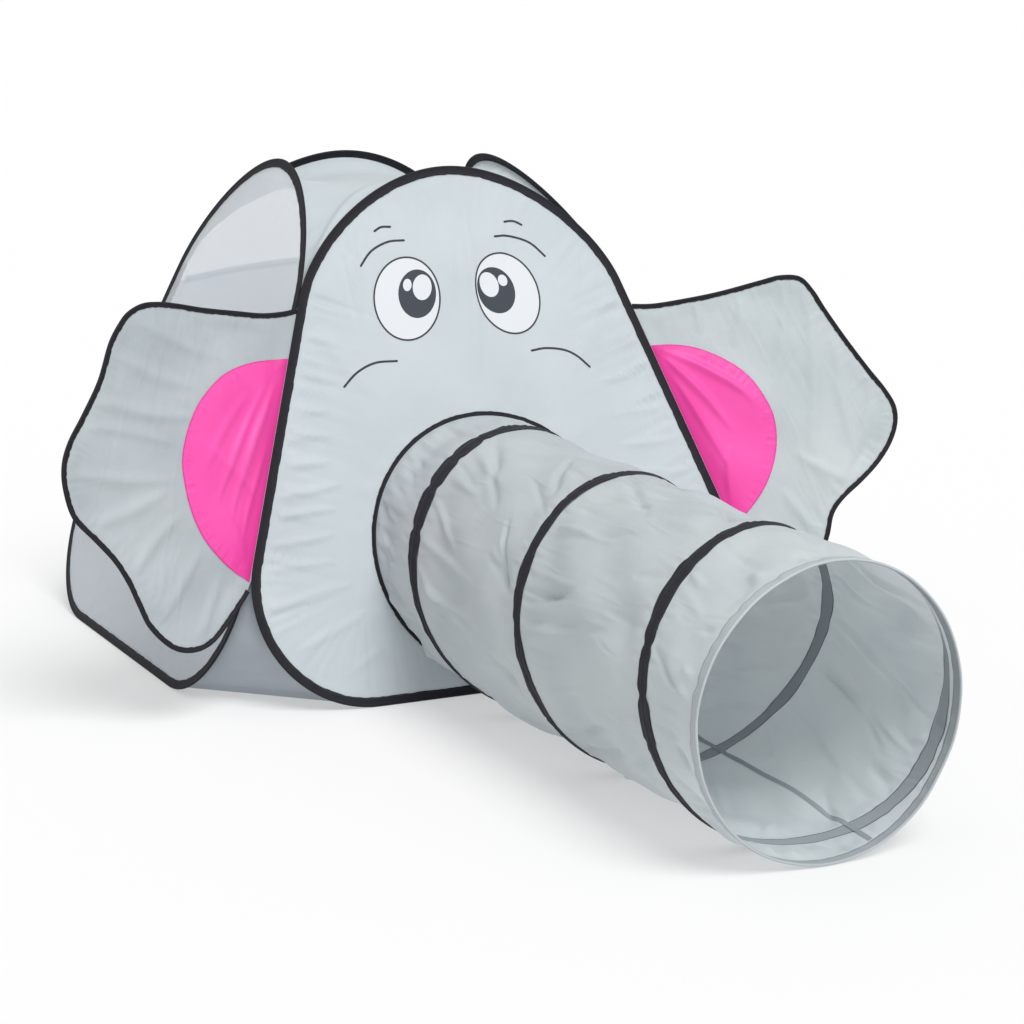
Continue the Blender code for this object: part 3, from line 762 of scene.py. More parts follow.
def printed_line(name, points, width):
    """A brush line through a few points, with round ends."""
    line = evenly(flowing(points, run_on=True), 70, closed=False)
    side = inward(line, closed=False)
    length = np.linalg.norm(line[1] - line[0]) * (len(line) - 1)
    at = np.linspace(0, length, len(line))
    end = np.minimum(at, length - at)
    half = width / 2 * np.sqrt(np.clip(1 - (1 - np.clip(end / (width / 2), 0, 1)) ** 2, 0, 1))
    across = np.linspace(-1, 1, 5)[:, None]
    s, t = line[:, 0] + across * half * side[:, 0], line[:, 1] + across * half * side[:, 1]
    return printed(name, s, t, LINE_LIFT, line_ink)


def printed_eye(side, centre, lean, iris, big, small):
    pieces = [printed_disc(f"eye_white_{side}", centre, *EYE_SIZE, lean, WHITE_LIFT, white_ink)]
    rim = [oval(centre, *EYE_SIZE, lean, grow=g) for g in (-0.0016, 0.0, 0.0016)]
    rows = np.array([ring_of(line) for line in rim])
    pieces.append(printed(f"eye_outline_{side}", rows[..., 0], rows[..., 1], TOP_LIFT, line_ink))
    pieces.append(printed_disc(f"eye_iris_{side}", *iris, lean, IRIS_LIFT, iris_ink))
    pieces.append(printed_disc(f"eye_glint_{side}", *big, lean, TOP_LIFT, white_ink, 8))
    pieces.append(printed_disc(f"eye_spark_{side}", *small, lean, TOP_LIFT, white_ink, 5))
    return pieces


prints = printed_eye("left", (-0.1198, 0.7483), 16, ((-0.0982, 0.7563), 0.0375, 0.0468),
                     ((-0.0867, 0.7678), 0.0188, 0.0248), ((-0.1158, 0.7740), 0.0084, 0.0119))
prints += printed_eye("right", (0.0881, 0.7476), -16, ((0.0648, 0.7546), 0.0395, 0.0455),
                      ((0.0521, 0.7661), 0.0196, 0.0245), ((0.0821, 0.7730), 0.0096, 0.0113))
LINES = {
    "brow_upper_left": [(-0.1675, 0.8789), (-0.1510, 0.8872), (-0.1308, 0.8868)],
    "brow_lower_left": [(-0.2048, 0.8130), (-0.1775, 0.8425), (-0.1416, 0.8584), (-0.1071, 0.8597)],
    "brow_upper_right": [(0.1014, 0.8863), (0.1212, 0.8872), (0.1414, 0.8783)],
    "brow_lower_right": [(0.0767, 0.8591), (0.1097, 0.8581), (0.1503, 0.8437), (0.1809, 0.8141)],
    "cheek_left": [(-0.2710, 0.5889), (-0.2409, 0.6148), (-0.2016, 0.6310), (-0.1555, 0.6317)],
    "cheek_right": [(0.1190, 0.6337), (0.1560, 0.6368), (0.2016, 0.6268), (0.2420, 0.5933)],
}
for name, points in LINES.items():
    prints.append(printed_line(name, points, BRUSH))
print("printed shapes", len(prints))

# %% [markdown]
# ## Sides and back
# Both sides are whole panels of mesh. At the back, grey taffeta reaches up to a horizontal seam and
# mesh fills the arch above it; a self-cloth hem covers the join from inside, and a facing of the same
# cloth holds the mesh at the arch. Mesh is lighter and stretches, so it lies flatter than taffeta.

# %% flat panels
def panel_cloth(name, side, outline, centre, rings, height, material, nodes, shaped=None):
    flat = fan(outline, np.array(centre), rings)
    s, t = flat[..., 0], flat[..., 1]
    t = shaped(s, t) if shaped else t
    obj = grid_sheet(name, on_panel(side, s, t, height(s, t)), flat, material)
    return dress(obj, "tent", nodes)


def quiet_height(seed, depth, sag):
    """A lightly drawn panel: faint folds from the tape and a slight belly."""
    def height(s, t):
        pinch, gap = puckers(s, t, hoop, hoop_length, seed, depth, 0.070, 0.03, 0.09)
        free = rise(gap, TAPE_WIDTH - 0.001, TAPE_WIDTH + 0.030)
        return pinch + free * (0.0012 * drift(s, t, seed + 1, 0.15, 0.5) - sag * rise(gap, 0.02, 0.35))
    return height


for side in ("left", "right"):
    window = panel_cloth(f"{side}_mesh_cloth", side, edge, (0.0, 0.45), 60, quiet_height(50, 0.0008, 0.004),
                         white_mesh, [f"side_mesh_{side}"])
print("mesh window", round(cloth_area(window), 3), "m2")

# %% the back, below and above its seam
SEAM_HEIGHT = 0.736
SEAM_ARCH = 0.019
HEM_HALF = 0.008


def arched(s, t):
    """The seam between cloth and mesh stands a little higher in the middle, and what is near it follows."""
    return t + (SEAM_ARCH - 0.33 * s ** 2) * np.exp(-((t - SEAM_HEIGHT) / 0.12) ** 2)


def cut_outline(height, above):
    """The panel's outline with one side of a level cut taken away."""
    kept = edge[(edge[:, 1] > height) if above else (edge[:, 1] < height)]
    jump = int(np.argmax(np.linalg.norm(np.diff(kept, axis=0, append=kept[:1]), axis=1)))
    kept = np.roll(kept, -(jump + 1), 0)
    reach = abs(float(np.interp(height, *edge[:210][:, ::-1].T)))
    ends = [(-reach, height), (reach, height)] if above else [(reach, height), (-reach, height)]
    return evenly(np.concatenate([[ends[1]], kept, [ends[0]], [ends[1]]]), 360)


back_height = quiet_height(56, 0.0014, 0.003)
back_low = panel_cloth("back_cloth", "back", cut_outline(SEAM_HEIGHT, False), (0.0, 0.38), 60, back_height,
                       back_taffeta, ["back_panel"], arched)
back_high = panel_cloth("back_mesh_cloth", "back", cut_outline(SEAM_HEIGHT, True), (0.0, 0.85), 24,
                        back_height, white_mesh, ["back_mesh"], arched)
reach = side_line(SEAM_HEIGHT + 0.016) - TAPE_WIDTH * SIDE_RUN - 0.0003
s, t = np.meshgrid(np.linspace(-reach, reach, 160), SEAM_HEIGHT + np.linspace(-HEM_HALF, HEM_HALF, 7))
t = arched(s, t + 0.0005 * ripple(s, 60, 0.02, 0.1) * np.sign(t - SEAM_HEIGHT))
hem = grid_sheet("back_hem_strip", on_panel("back", s, t, back_height(s, t) - 0.0011), np.stack([s, t], -1),
                 back_taffeta)
dress(hem, "tent", ["back_hem"])
# Half of the mesh's visible edge, from the seam up to the middle
WINDOW = [(0.345, 0.716), (0.305, 0.791), (0.257, 0.869), (0.216, 0.900), (0.167, 0.917), (0.090, 0.920),
          (0.0, 0.918)]
window_line = evenly(mirrored(np.array(WINDOW)), 400, closed=False)
rim_line = cut_outline(SEAM_HEIGHT, True)
rim_line = evenly(rim_line[rim_line[:, 1] > SEAM_HEIGHT + 0.001], 400, closed=False)
share = np.linspace(0, 1, 13)[:, None, None]
flat = window_line + (rim_line - window_line) * share
s, t = flat[..., 0], flat[..., 1]
back_frame = grid_sheet("back_window_frame", on_panel("back", s, t, back_height(s, t) - 0.0009), flat,
                        back_taffeta)
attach(back_frame, "tent")
print("back cloth", round(cloth_area(back_low), 3), "m2, back mesh", round(cloth_area(back_high), 3), "m2")

# %% [markdown]
# ## The roof
# One square of taffeta is sewn between the four arches. Pulled from all sides, it takes the form of
# a soap film: high along the arches and sunk in the middle. The form is found by letting every point
# settle between its neighbours; slack folds then run down from the front arch.

# %% the roof's form
CELLS = 96
SETTLING_ROUNDS = 5000
ROOF_IN_TAPE = 0.0155
ROOF_CUT = 0.78
arch = evenly(mirrored(arch_line(200))[::-1], CELLS + 1, closed=False)
arch_in = -inward(arch, closed=False)
BEHIND_TAPE = 0.0018
rims = [on_panel(side, *(arch + ROOF_IN_TAPE * arch_in).T, -BEHIND_TAPE) for side in PANELS]
for index, line in enumerate(rims):
    after = rims[(index + 1) % 4]
    line[-1] = after[0] = (line[-1] + after[0]) / 2
front, east, back, west = rims[0], rims[1], rims[2][::-1], rims[3][::-1]
u, v = np.linspace(0, 1, CELLS + 1)[None, :, None], np.linspace(0, 1, CELLS + 1)[:, None, None]
roof = (1 - v) * front[None] + v * back[None] + (1 - u) * west[:, None] + u * east[:, None]
roof = roof - (1 - v) * ((1 - u) * front[0] + u * front[-1]) - v * ((1 - u) * back[0] + u * back[-1])
for _ in range(SETTLING_ROUNDS):
    roof[1:-1, 1:-1] = (roof[:-2, 1:-1] + roof[2:, 1:-1] + roof[1:-1, :-2] + roof[1:-1, 2:]) / 4
print("roof's middle at", round(float(roof[CELLS // 2, CELLS // 2, 2]), 3), "m")

# %% the roof's cloth
ROOF_FOLDS = in_metres([
    (300, 20, 380, 340, 16, 3, 10), (360, 20, 420, 300, 12, 3.4, 0), (440, 20, 460, 260, 12, 2.6, 0),
    (520, 20, 520, 300, 14, 3, 6), (600, 20, 570, 270, 12, 2.6, 0), (680, 20, 620, 320, 14, 3, 10),
    (20, 20, 400, 360, 22, 6, 0), (980, 20, 600, 360, 22, 6, 0), (20, 980, 400, 640, 22, 6, 0),
    (980, 980, 600, 640, 22, 6, 0), (400, 980, 440, 700, 14, 3, 0), (600, 980, 550, 700, 14, 3, 0),
    (20, 420, 280, 460, 14, 3, 0), (980, 440, 720, 470, 14, 3, 0),
])
across, down = np.gradient(roof, axis=1), np.gradient(roof, axis=0)
normal = np.cross(across, down)
normal = normal / np.linalg.norm(normal, axis=2)[..., None]
normal[normal[..., 2] < 0] *= -1
p, q = np.broadcast_arrays(u[..., 0], v[..., 0])
held = np.minimum(np.minimum(p, 1 - p), np.minimum(q, 1 - q))
lift = sum(crease(p, q, *fold) for fold in ROOF_FOLDS) + 0.0012 * drift(p, q, 65, 0.2, 0.7)
lift = lift + 0.0016 * ripple(np.where(np.minimum(q, 1 - q) < np.minimum(p, 1 - p), p, q), 66, 0.03, 0.12) \
    * np.exp(-(held / 0.09) ** 1.5)
lift = lift * rise(held, 0.0, 0.035)
roof_cloth = grid_sheet("roof_cover", roof + normal * lift[..., None], np.stack([p, q], -1) * ROOF_CUT,
                        grey_taffeta)
dress(roof_cloth, "tent", ["roof_cloth"])
print("roof cloth", round(cloth_area(roof_cloth), 3), "m2")

# %% [markdown]
# ## Corners and floor
# Where two hoops' rounded corners stand apart, a small triangle of taffeta closes the gap down to
# the floor. The floor is one square sheet that joins the four panels' feet; it is thin, so it keeps
# the creases it was packed with.

# %% corner gussets
corner = evenly(corner_line(80), 49, closed=False)
corner_in = inward(corner, closed=False)
seam_inset = 0.0012 + 0.0143 * rise(np.linspace(0, 1, 49), 0.0, 0.14)[:, None]
foot = (corner + seam_inset * corner_in).T
for index, name in enumerate(("front_left", "front_right", "back_right", "back_left")):
    sides = list(PANELS)
    left = on_panel(sides[index], -foot[0], foot[1], -BEHIND_TAPE)
    right = on_panel(sides[index - 1], foot[0], foot[1], -BEHIND_TAPE)
    t, h = np.linspace(0, 1, 25)[None, :, None], np.linspace(0, 1, 49)[:, None, None]
    spots = (1 - t) * left[:, None] + t * right[:, None]
    out = np.array([cos(index * pi / 2 - 3 * pi / 4), sin(index * pi / 2 - 3 * pi / 4), 0.0])
    sag = 0.006 * np.sin(pi * t) * (1 - h) ** 0.5 * rise(h, -0.05, 0.12)
    sag = sag * (1 + 0.35 * ripple(h * 0.3, 70 + index, 0.04, 0.12))
    spots = spots - out * sag
    wide = np.linalg.norm(right - left, axis=1)[:, None, None]
    flat = np.concatenate([(t - 0.5) * wide, np.broadcast_to(h * 0.33, spots.shape[:2] + (1,))], 2)
    gusset = grid_sheet(f"gusset_{name}", spots, flat, gusset_taffeta)
    dress(gusset, "tent", [f"corner_gusset_{name}"])
print("gusset", round(cloth_area(gusset), 4), "m2")

# %% the floor sheet
floor_edge = HALF_SPAN - (WIRE_RADIUS / cos(LEAN) + 0.0011)
floor_cut = corner_line(2)[0, 0] - (WIRE_RADIUS / cos(LEAN) + 0.0011)
turned = [np.array([[cos(a), -sin(a)], [sin(a), cos(a)]]) for a in np.arange(4) * pi / 2]
corners = np.concatenate([[m @ (-floor_cut, -floor_edge), m @ (floor_cut, -floor_edge)] for m in turned])
floor_line = evenly(ring_of(corners), 320)
flat = fan(floor_line, np.zeros(2), 60)
s, t = flat[..., 0], flat[..., 1]
gap, _ = nearest(s, t, floor_line)
packed = np.abs(ripple(s, 80, 0.12, 0.5)) * 0.002 + np.abs(ripple(t, 81, 0.12, 0.5)) * 0.002
z = CLOTH / 2 + (packed + 0.0015 * np.abs(drift(s, t, 82, 0.1, 0.4))) * rise(gap, 0.012, 0.06)
ground = grid_sheet("floor_cloth", np.stack([s, t, z], -1), flat, floor_taffeta)
dress(ground, "tent", ["floor_sheet"])
print("floor sheet", round(cloth_area(ground), 3), "m2")

# %% [markdown]
# ## The tunnel
# A tube of taffeta about 1.2 m long. A spring-steel coil winds round it under a black tape that is
# gathered and sewn down along both edges, so the cloth is held out at each turn and hangs slack
# between turns. The slack hangs in long folds that wind with the coil, and the first length gathers
# into the opening's ring. The tube packs flat towards the face.

# %% the tunnel's form
FACE_BLEND = 0.250
TUNNEL_START = 0.00312
HEM_WIDTH = 0.020
COIL_END = 1.1572
FULLNESS = 0.0070
FIRST_SHIFT = -0.012
COIL_LIFT = 0.00195
SEAM_WIDTH = 0.0078
IN_TUNNEL = (TUNNEL_SHIFT, -1.1, AXIS_HEIGHT)
TURN = 2 * pi * TUNNEL_RADIUS


def waves(angle, terms):
    """Whole waves to a turn, listed as (number, height, start), so that they meet where a ring closes."""
    return sum(height * np.cos(number * angle + start) for number, height, start in terms)


def mouth_wave(angle):
    """The mouth's ring is bent a little out of round."""
    return waves(angle, [(2, 0.0012, 0.7), (3, 0.0009, 2.0), (5, 0.0006, 0.4)])


def tunnel_spots(angle, run, off=0.0):
    """Angle from the top round to the near side, run from the face, off the cloth's middle."""
    blend = np.clip((FACE_BLEND - run) / (FACE_BLEND - TUNNEL_START), 0, 1) ** 2
    share = np.clip(run / TUNNEL_LENGTH, 0, 1)
    full = FULLNESS * (1 - share ** 1.5) * (1 - np.exp(-(run / 0.10) ** 2))
    ends = rise(run, 0.75, TUNNEL_LENGTH - HEM_WIDTH)
    radius = TUNNEL_RADIUS - CLOTH / 2 + off + (OPENING_RADIUS + 0.002 - TUNNEL_RADIUS) * blend + full
    radius = radius + mouth_wave(angle) * ends
    centre = AXIS_HEIGHT + (FACE_CENTRE_Z - AXIS_HEIGHT) * blend + full
    side = TUNNEL_SHIFT + (FIRST_SHIFT - TUNNEL_SHIFT) * (1 - share ** 1.3)
    side = side + (OPENING_SHIFT - side) * np.exp(-run / 0.04)
    up = radius * np.cos(angle)
    height = np.maximum(centre + up * np.cos(LEAN * blend), 0.0012 + 0.5 * np.minimum(0.0012 - off, 0.0))
    return np.stack([side - radius * np.sin(angle), FACE_CENTRE_Y - run + up * np.sin(LEAN * blend),
                     np.maximum(height, 0.0003)], -1)


# %% where the coil lies: turns from the top, and its run from the face there
COIL_PLACES = [(-0.084, 0.060), (0.0, 0.092), (0.1, 0.122), (0.2, 0.149), (0.3, 0.180), (0.4, 0.232),
               (0.5, 0.296), (0.6, 0.345), (0.7, 0.388), (0.8, 0.428), (0.9, 0.442), (1.0, 0.492),
               (1.1, 0.534), (1.2, 0.567), (1.3, 0.607), (1.4, 0.634), (1.5, 0.651), (1.6, 0.679),
               (1.7, 0.737), (1.8, 0.808), (1.9, 0.867), (2.0, 0.926), (2.1, 0.968), (2.2, 1.002),
               (2.3, 1.032), (2.4, 1.050), (2.5, 1.068), (2.6, 1.112), (2.66, 1.130), (2.75, 1.1385),
               (2.84, 1.1490), (2.92, COIL_END)]
COIL_LINE = flowing(COIL_PLACES)


def coil_run(turns):
    return np.minimum(np.interp(turns, *COIL_LINE.T), COIL_END)


def tape_half(turns):
    """Half the tape's width; its last length narrows as it goes in under the mouth's hem."""
    x = turns * TURN
    wide = 0.0154 + 0.0038 * np.exp(-((turns - 0.17) / 0.13) ** 2)
    wide = wide + 0.0026 * kinks(x, 95, 0.050) + 0.0022 * kinks(x, 96, 0.020)
    for place in (0.045, 0.088, 0.135, 0.190, 2.190, 2.240):
        wide = wide * (1 - 0.32 * np.exp(-((turns - place) / 0.0055) ** 2))
    pulled = 0.0030 * np.exp(-((turns - 0.42) / 0.08) ** 2) + 0.0030 * np.exp(-((turns - 0.0) / 0.05) ** 2)
    return (wide - pulled) * (1 - 0.96 * rise(turns, 2.70, 2.84))


def from_coil(angle, run):
    """How far a point of the cloth is from the nearest turn of the coil along the tube, and that turn."""
    turns = np.stack([angle / (2 * pi) + k for k in range(-2, 4)])
    gaps = run - coil_run(turns)
    gaps[(turns < -0.084) | (turns > 2.92)] = 9.0
    pick = np.abs(gaps).argmin(0)[None]
    return np.take_along_axis(gaps, pick, 0)[0], np.take_along_axis(turns, pick, 0)[0]


def from_tape(x, run):
    """How far a place in the cut cloth is from the tape's middle, as a share of the tape's half width."""
    gap, turns = from_coil(x / TUNNEL_RADIUS, run)
    return np.abs(gap) / tape_half(turns)


# %% the tunnel's folds
SECTIONS = [(12, 10, 40, 0.10), (17, 12, 56, 0.26), (-16, 10, 60, 0.26), (14, 14, 46, 0.15)]


def hanging_folds(seed):
    """Folds drawn on the unrolled cloth, as (start, end, width, depth). They start at the ring or at the
    tape, and each length of cloth between turns has its own way of hanging."""
    rng = np.random.default_rng(seed)
    folds = []
    for index, (slant, spread, count, reach) in enumerate(SECTIONS):
        for place in np.linspace(0, 1, count, endpoint=False) + rng.uniform(-0.4, 0.4, count) / count:
            start = 0.0 if index == 0 else float(coil_run(place + index - 1)) - 0.012
            way, length = radians(rng.normal(slant, spread)), reach * rng.uniform(0.55, 1.25)
            x, sign = place * TURN, rng.choice((-1, 1))
            if index == 0 and length > float(coil_run(place)):
                length = float(coil_run(place)) * rng.uniform(0.9, 1.2)
            if index and rng.random() < 0.4:
                start, length = float(coil_run(place + index)) + 0.012 - length * 0.6, length * 0.6
            end = (x + length * sin(way), start + length * cos(way))
            folds.append(((x, start), end, rng.uniform(0.0055, 0.011), sign * rng.uniform(0.0030, 0.0085)))
    return folds


TUNNEL_FOLDS = hanging_folds(90)
GATHERS = [(13, 0.0008, 0.4), (22, 0.0017, 2.0), (31, 0.0017, 4.1), (43, 0.0014, 1.3), (57, 0.0009, 5.2),
           (75, 0.0005, 3.0)]
# The broad waves wind along the tube, by so many turns to a metre
BROAD = [(3, 2.1, 0.0022, 0.3), (5, -3.0, 0.0028, 1.7), (8, 2.6, 0.0026, 4.0), (11, -4.3, 0.0024, 2.4),
         (15, 5.2, 0.0018, 0.9)]
PINCHES = [(47, 0.0006, 0.2), (64, 0.0006, 1.9), (83, 0.0005, 3.3), (101, 0.0004, 5.0), (29, 0.0005, 2.2)]


def slack(angle, run):
    """How far the tunnel's cloth stands off its round form."""
    x = angle * TUNNEL_RADIUS % TURN
    gap, turns = from_coil(angle, run)
    gap = np.abs(gap) - tape_half(turns)
    free = rise(gap, 0.002, 0.075)
    ends = rise(run, 0.006, 0.050) * rise(TUNNEL_LENGTH - run, 0.021, 0.060)
    deep = -0.0022 * free
    for fold in TUNNEL_FOLDS:
        for lap in (-TURN, 0, TURN):
            deep = deep + crease(x + lap, run, *fold) * (0.45 + 0.55 * free) * rise(gap, 0.001, 0.016)
    deep = deep + free * waves(angle, [(k, a, c + 2 * pi * m * run) for k, m, a, c in BROAD])
    gather = waves(angle, GATHERS) * np.exp(-(run / 0.085) ** 1.5)
    pinch = waves(angle, PINCHES) * rise(gap, 0.001, 0.007) * np.exp(-((gap - 0.006) / 0.018) ** 2)
    return (deep + pinch) * ends + gather * rise(run, 0.004, 0.020) * rise(gap, 0.0, 0.01)


# %% the tunnel's cloth
ROUND, ALONG = 320, 300
angle, run = np.meshgrid(np.linspace(pi, 3 * pi, ROUND + 1),
                         np.linspace(TUNNEL_START, TUNNEL_LENGTH - 0.010, ALONG + 1))
loose = slack(angle, run)
tunnel = grid_sheet("tunnel_cover", tunnel_spots(angle, run, loose),
                    np.stack([angle * TUNNEL_RADIUS, run], -1), tunnel_taffeta, inside=IN_TUNNEL)
# These marks place the painted shade under the coil's tape.
mark_corners(tunnel, "to_tape", from_tape)
dress(tunnel, "tent", ["tunnel_cloth"])
print("tunnel cloth", round(cloth_area(tunnel), 3), "m2")

# %% the coil under its tape
turns = np.linspace(-0.083, 2.916, 1441)
spots = tunnel_spots(2 * pi * turns, coil_run(turns) + WIRE_RADIUS * np.sin(ROUND_WIRE),
                     COIL_LIFT + WIRE_RADIUS * np.cos(ROUND_WIRE))
coil = wire_piece("coil_wire", spots, "tent", "tunnel_coil_wire")

tape_run = turns * TURN
across = np.linspace(-1, 1, 21)[:, None]
wander = 0.0022 * kinks(tape_run, 93, 0.035) + 0.0018 * kinks(tape_run, 99, 0.070)
shift = across * tape_half(turns) + wander * np.abs(across)
turned = np.broadcast_to(2 * pi * turns, shift.shape)
resting = 1 - 0.75 * np.exp(-((turned % (2 * pi) - pi) / 0.40) ** 2)
crumple = np.abs(kinks(tape_run + 0.3 * shift, 97, 0.017)) * np.abs(across) ** 0.6
crumple = crumple + 0.7 * np.abs(kinks(tape_run - 0.9 * shift, 98, 0.041)) * (1 - across ** 2)
bulge = 0.0030 * np.exp(-(across * SPIRAL_HALF / 0.0040) ** 2)
place = np.minimum(coil_run(turns) + shift, TUNNEL_LENGTH - HEM_WIDTH - 0.0003)
lifted = 0.0007 + bulge + 0.0030 * crumple * (1 - np.exp(-(across * SPIRAL_HALF / 0.006) ** 2)) * resting
lifted = lifted * (0.35 + 0.65 * (1 - across ** 8)) + slack(turned, place)
tape = grid_sheet("tunnel_tape", tunnel_spots(turned, place, lifted),
                  np.stack([np.broadcast_to(tape_run, shift.shape), SPIRAL_HALF * across + 0 * shift], -1),
                  spiral_tape, inside=IN_TUNNEL)
dress(tape, "tent", ["tunnel_spiral_tape"])

# %% the tube's lengthwise seam, inside
seam_run = np.linspace(0.012, TUNNEL_LENGTH - 0.024, 240)
seam_at = radians(202.5) + 0.0014 * ripple(seam_run, 98, 0.2, 0.6) / TUNNEL_RADIUS
seam_at = seam_at + radians(7) * (1 - seam_run / TUNNEL_LENGTH)
wide = np.linspace(-0.5, 0.5, 5)[:, None]
turned = seam_at + wide * SEAM_WIDTH / TUNNEL_RADIUS
place = np.broadcast_to(seam_run, turned.shape)
seam = grid_sheet("tunnel_seam", tunnel_spots(turned, place, slack(turned, place) - 0.0011),
                  np.stack([place, wide * SEAM_WIDTH + 0 * place], -1), seam_taffeta,
                  inside=IN_TUNNEL)
dress(seam, "tent", ["tunnel_seam_tape"])
# The cloth ends where it is sewn into the mouth's hem; each of these pieces gets a mesh of its own
for piece in (tunnel, coil, tape, seam):
    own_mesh(piece)
print("coil turns", round(float(turns[-1] - turns[0]), 2))

# %% [markdown]
# ## The mouth
# The tube's end is folded back over a closed ring of wire and sewn twice, so the mouth has a soft
# hem of the tunnel's own cloth. It stands free, so it waves a little.

# %% mouth hem
angle = np.linspace(0, 2 * pi, 301)
profile = ring_of(fold_profile(HEM_WIDTH))
wave = waves(angle, [(5, 0.0006, 1.0), (9, 0.0005, 0.0), (14, 0.0005, 2.0)])
crimp = waves(angle, [(23, 0.0010, 0.6), (37, 0.0010, 0.0), (58, 0.0009, 2.2)])
deep = (profile[:, :1] / HEM_WIDTH) ** 2
bent = TUNNEL_RADIUS - CLOTH / 2 + mouth_wave(-angle)
radius = bent + profile[:, 1:] + crimp * deep * (1.2 - deep)
y = FACE_CENTRE_Y - TUNNEL_LENGTH + profile[:, :1] + wave * (1 - deep) + 0.7 * crimp * deep
spots = np.stack([TUNNEL_SHIFT + radius * np.sin(angle), np.broadcast_to(y, radius.shape),
                  AXIS_HEIGHT + radius * np.cos(angle)], -1)
flat = np.stack([np.broadcast_to(angle * TUNNEL_RADIUS, radius.shape),
                 np.broadcast_to(np.sign(profile[:, 1:]) * profile[:, :1], radius.shape)], -1)
spots[..., 2] = np.maximum(spots[..., 2], 0.0008)
mouth = grid_sheet("mouth_hem_cloth", spots, flat, folded_taffeta)
# The hem's inner leg has its outer leg behind it, so less light comes through; painted shade darkens it a
# little for that
mark_corners(mouth, "to_tape", lambda x, y: np.where(y < 0, 1.015, 2.0))
dress(mouth, "tunnel_mouth", ["mouth_hem"])
radius = bent + WIRE_RADIUS * np.sin(ROUND_WIRE)
y = FACE_CENTRE_Y - TUNNEL_LENGTH + WIRE_INSET + WIRE_RADIUS * np.cos(ROUND_WIRE) + wave
spots = np.stack([TUNNEL_SHIFT + radius * np.sin(angle), y, AXIS_HEIGHT + radius * np.cos(angle)], -1)
wire_piece("mouth_ring_wire", spots, "tunnel_mouth", "mouth_wire")
print("mouth at y", round(float(FACE_CENTRE_Y - TUNNEL_LENGTH), 3))

# %% [markdown]
# ## The ears
# Each ear is a single layer of grey taffeta with its own wire in a narrow tape, hinged on the seam
# beside the front hoop. A pink lining is sewn on its front by a plain seam, so it puckers along that
# seam, and both cloths hang in long folds because the wire is stiffer than they are.

# %% the ears' outlines
# Both kinds of outline run down from the hinge's top, in millimetres out from the hinge and up along it
EAR_FOLD = radians(15)
EAR_TAPE_WIDTH = 0.0098
BEHIND_EARS = (0.0, 3.0, 0.4)
EAR_RIMS = {
    "left": [
        (1.8, 781), (26, 767), (71, 749), (125, 736), (195, 720), (247, 711), (285, 702), (316, 689),
        (340, 667), (353, 643), (366, 600), (373, 530), (391, 462), (407, 409), (410, 366), (398, 325),
        (370, 282), (322, 255), (277, 229), (242, 198), (215, 166), (185, 134), (135, 110), (90, 113),
        (51, 140), (18, 198), (-4, 245),
    ],
    "right": [
        (0.8, 750), (41, 733), (105, 716), (173, 701), (255, 688), (300, 680), (336, 661), (350, 626),
        (357, 581), (370, 515), (387, 443), (401, 392), (406, 352), (395, 319), (367, 288), (326, 262),
        (278, 243), (230, 228), (197, 209), (168, 172), (128, 138), (85, 122), (48, 142), (18, 196),
        (-4, 244),
    ],
}
LINING_RIMS = {
    "left": [
        (0.2, 684), (68, 657), (126, 618), (161, 571), (181, 518), (185, 456), (176, 411), (154, 363),
        (113, 316), (65, 287), (0.2, 262),
    ],
    "right": [
        (0.2, 661), (40, 646), (79, 623), (112, 592), (140, 555), (157, 519), (165, 480), (167, 442),
        (160, 407), (145, 374), (124, 346), (98, 321), (66, 299), (32, 283), (0.2, 272),
    ],
}


def ear_frame(side):
    line = Vector((-side * tan(LEAN), tan(LEAN), 1.0)).normalized()
    face_normal = Vector((0.0, -cos(LEAN), sin(LEAN)))
    across = cos(EAR_FOLD) * line.cross(face_normal) + side * sin(EAR_FOLD) * face_normal
    frame = np.eye(4)
    frame[:3, :3] = np.array((across, line, across.cross(line))).T
    frame[:3, 3] = (side * (side_line(0.0) + (CLOTH / 2 + 0.0003) * SIDE_RUN), -HALF_SPAN, 0.0)
    return frame


ear_lines = {name: evenly(flowing(np.array(points) / 1000, 10), 420, closed=False)
             for name, points in EAR_RIMS.items()}
lining_lines = {name: evenly(flowing(np.array(points) / 1000, 16), 220, closed=False)
                for name, points in LINING_RIMS.items()}
for name, line in ear_lines.items():
    print(name, "ear outline", round(float(along(line)[-1]), 3), "m")

# %% the ears' folds
EAR_FOLDS = {
    "left": in_metres([
        (395, 500, 170, 520, 13, 5, 10), (400, 440, 200, 462, 11, 3.6, -8), (360, 590, 180, 575, 14, 4, 10),
        (330, 655, 120, 640, 12, 3, 6), (395, 360, 190, 400, 13, 3.6, 8), (350, 270, 200, 380, 14, 4.4, 8),
        (240, 200, 165, 350, 13, 4, -6), (170, 150, 110, 300, 12, 4, 5), (90, 125, 55, 270, 11, 3.4, 4),
        (230, 690, 160, 560, 13, 3, 0),
    ]),
    "right": in_metres([
        (340, 650, 200, 330, 16, 4.8, 14), (300, 665, 185, 480, 13, 3.4, 8), (220, 690, 150, 590, 13, 3.4, 5),
        (395, 420, 250, 270, 13, 3.6, 8), (360, 540, 290, 300, 13, 3.2, -10),
        (280, 230, 170, 360, 12, 3.4, 6), (170, 150, 120, 300, 12, 3.6, 4), (90, 125, 60, 270, 11, 3, 3),
        (125, 710, 100, 640, 10, 3, 2),
    ]),
}
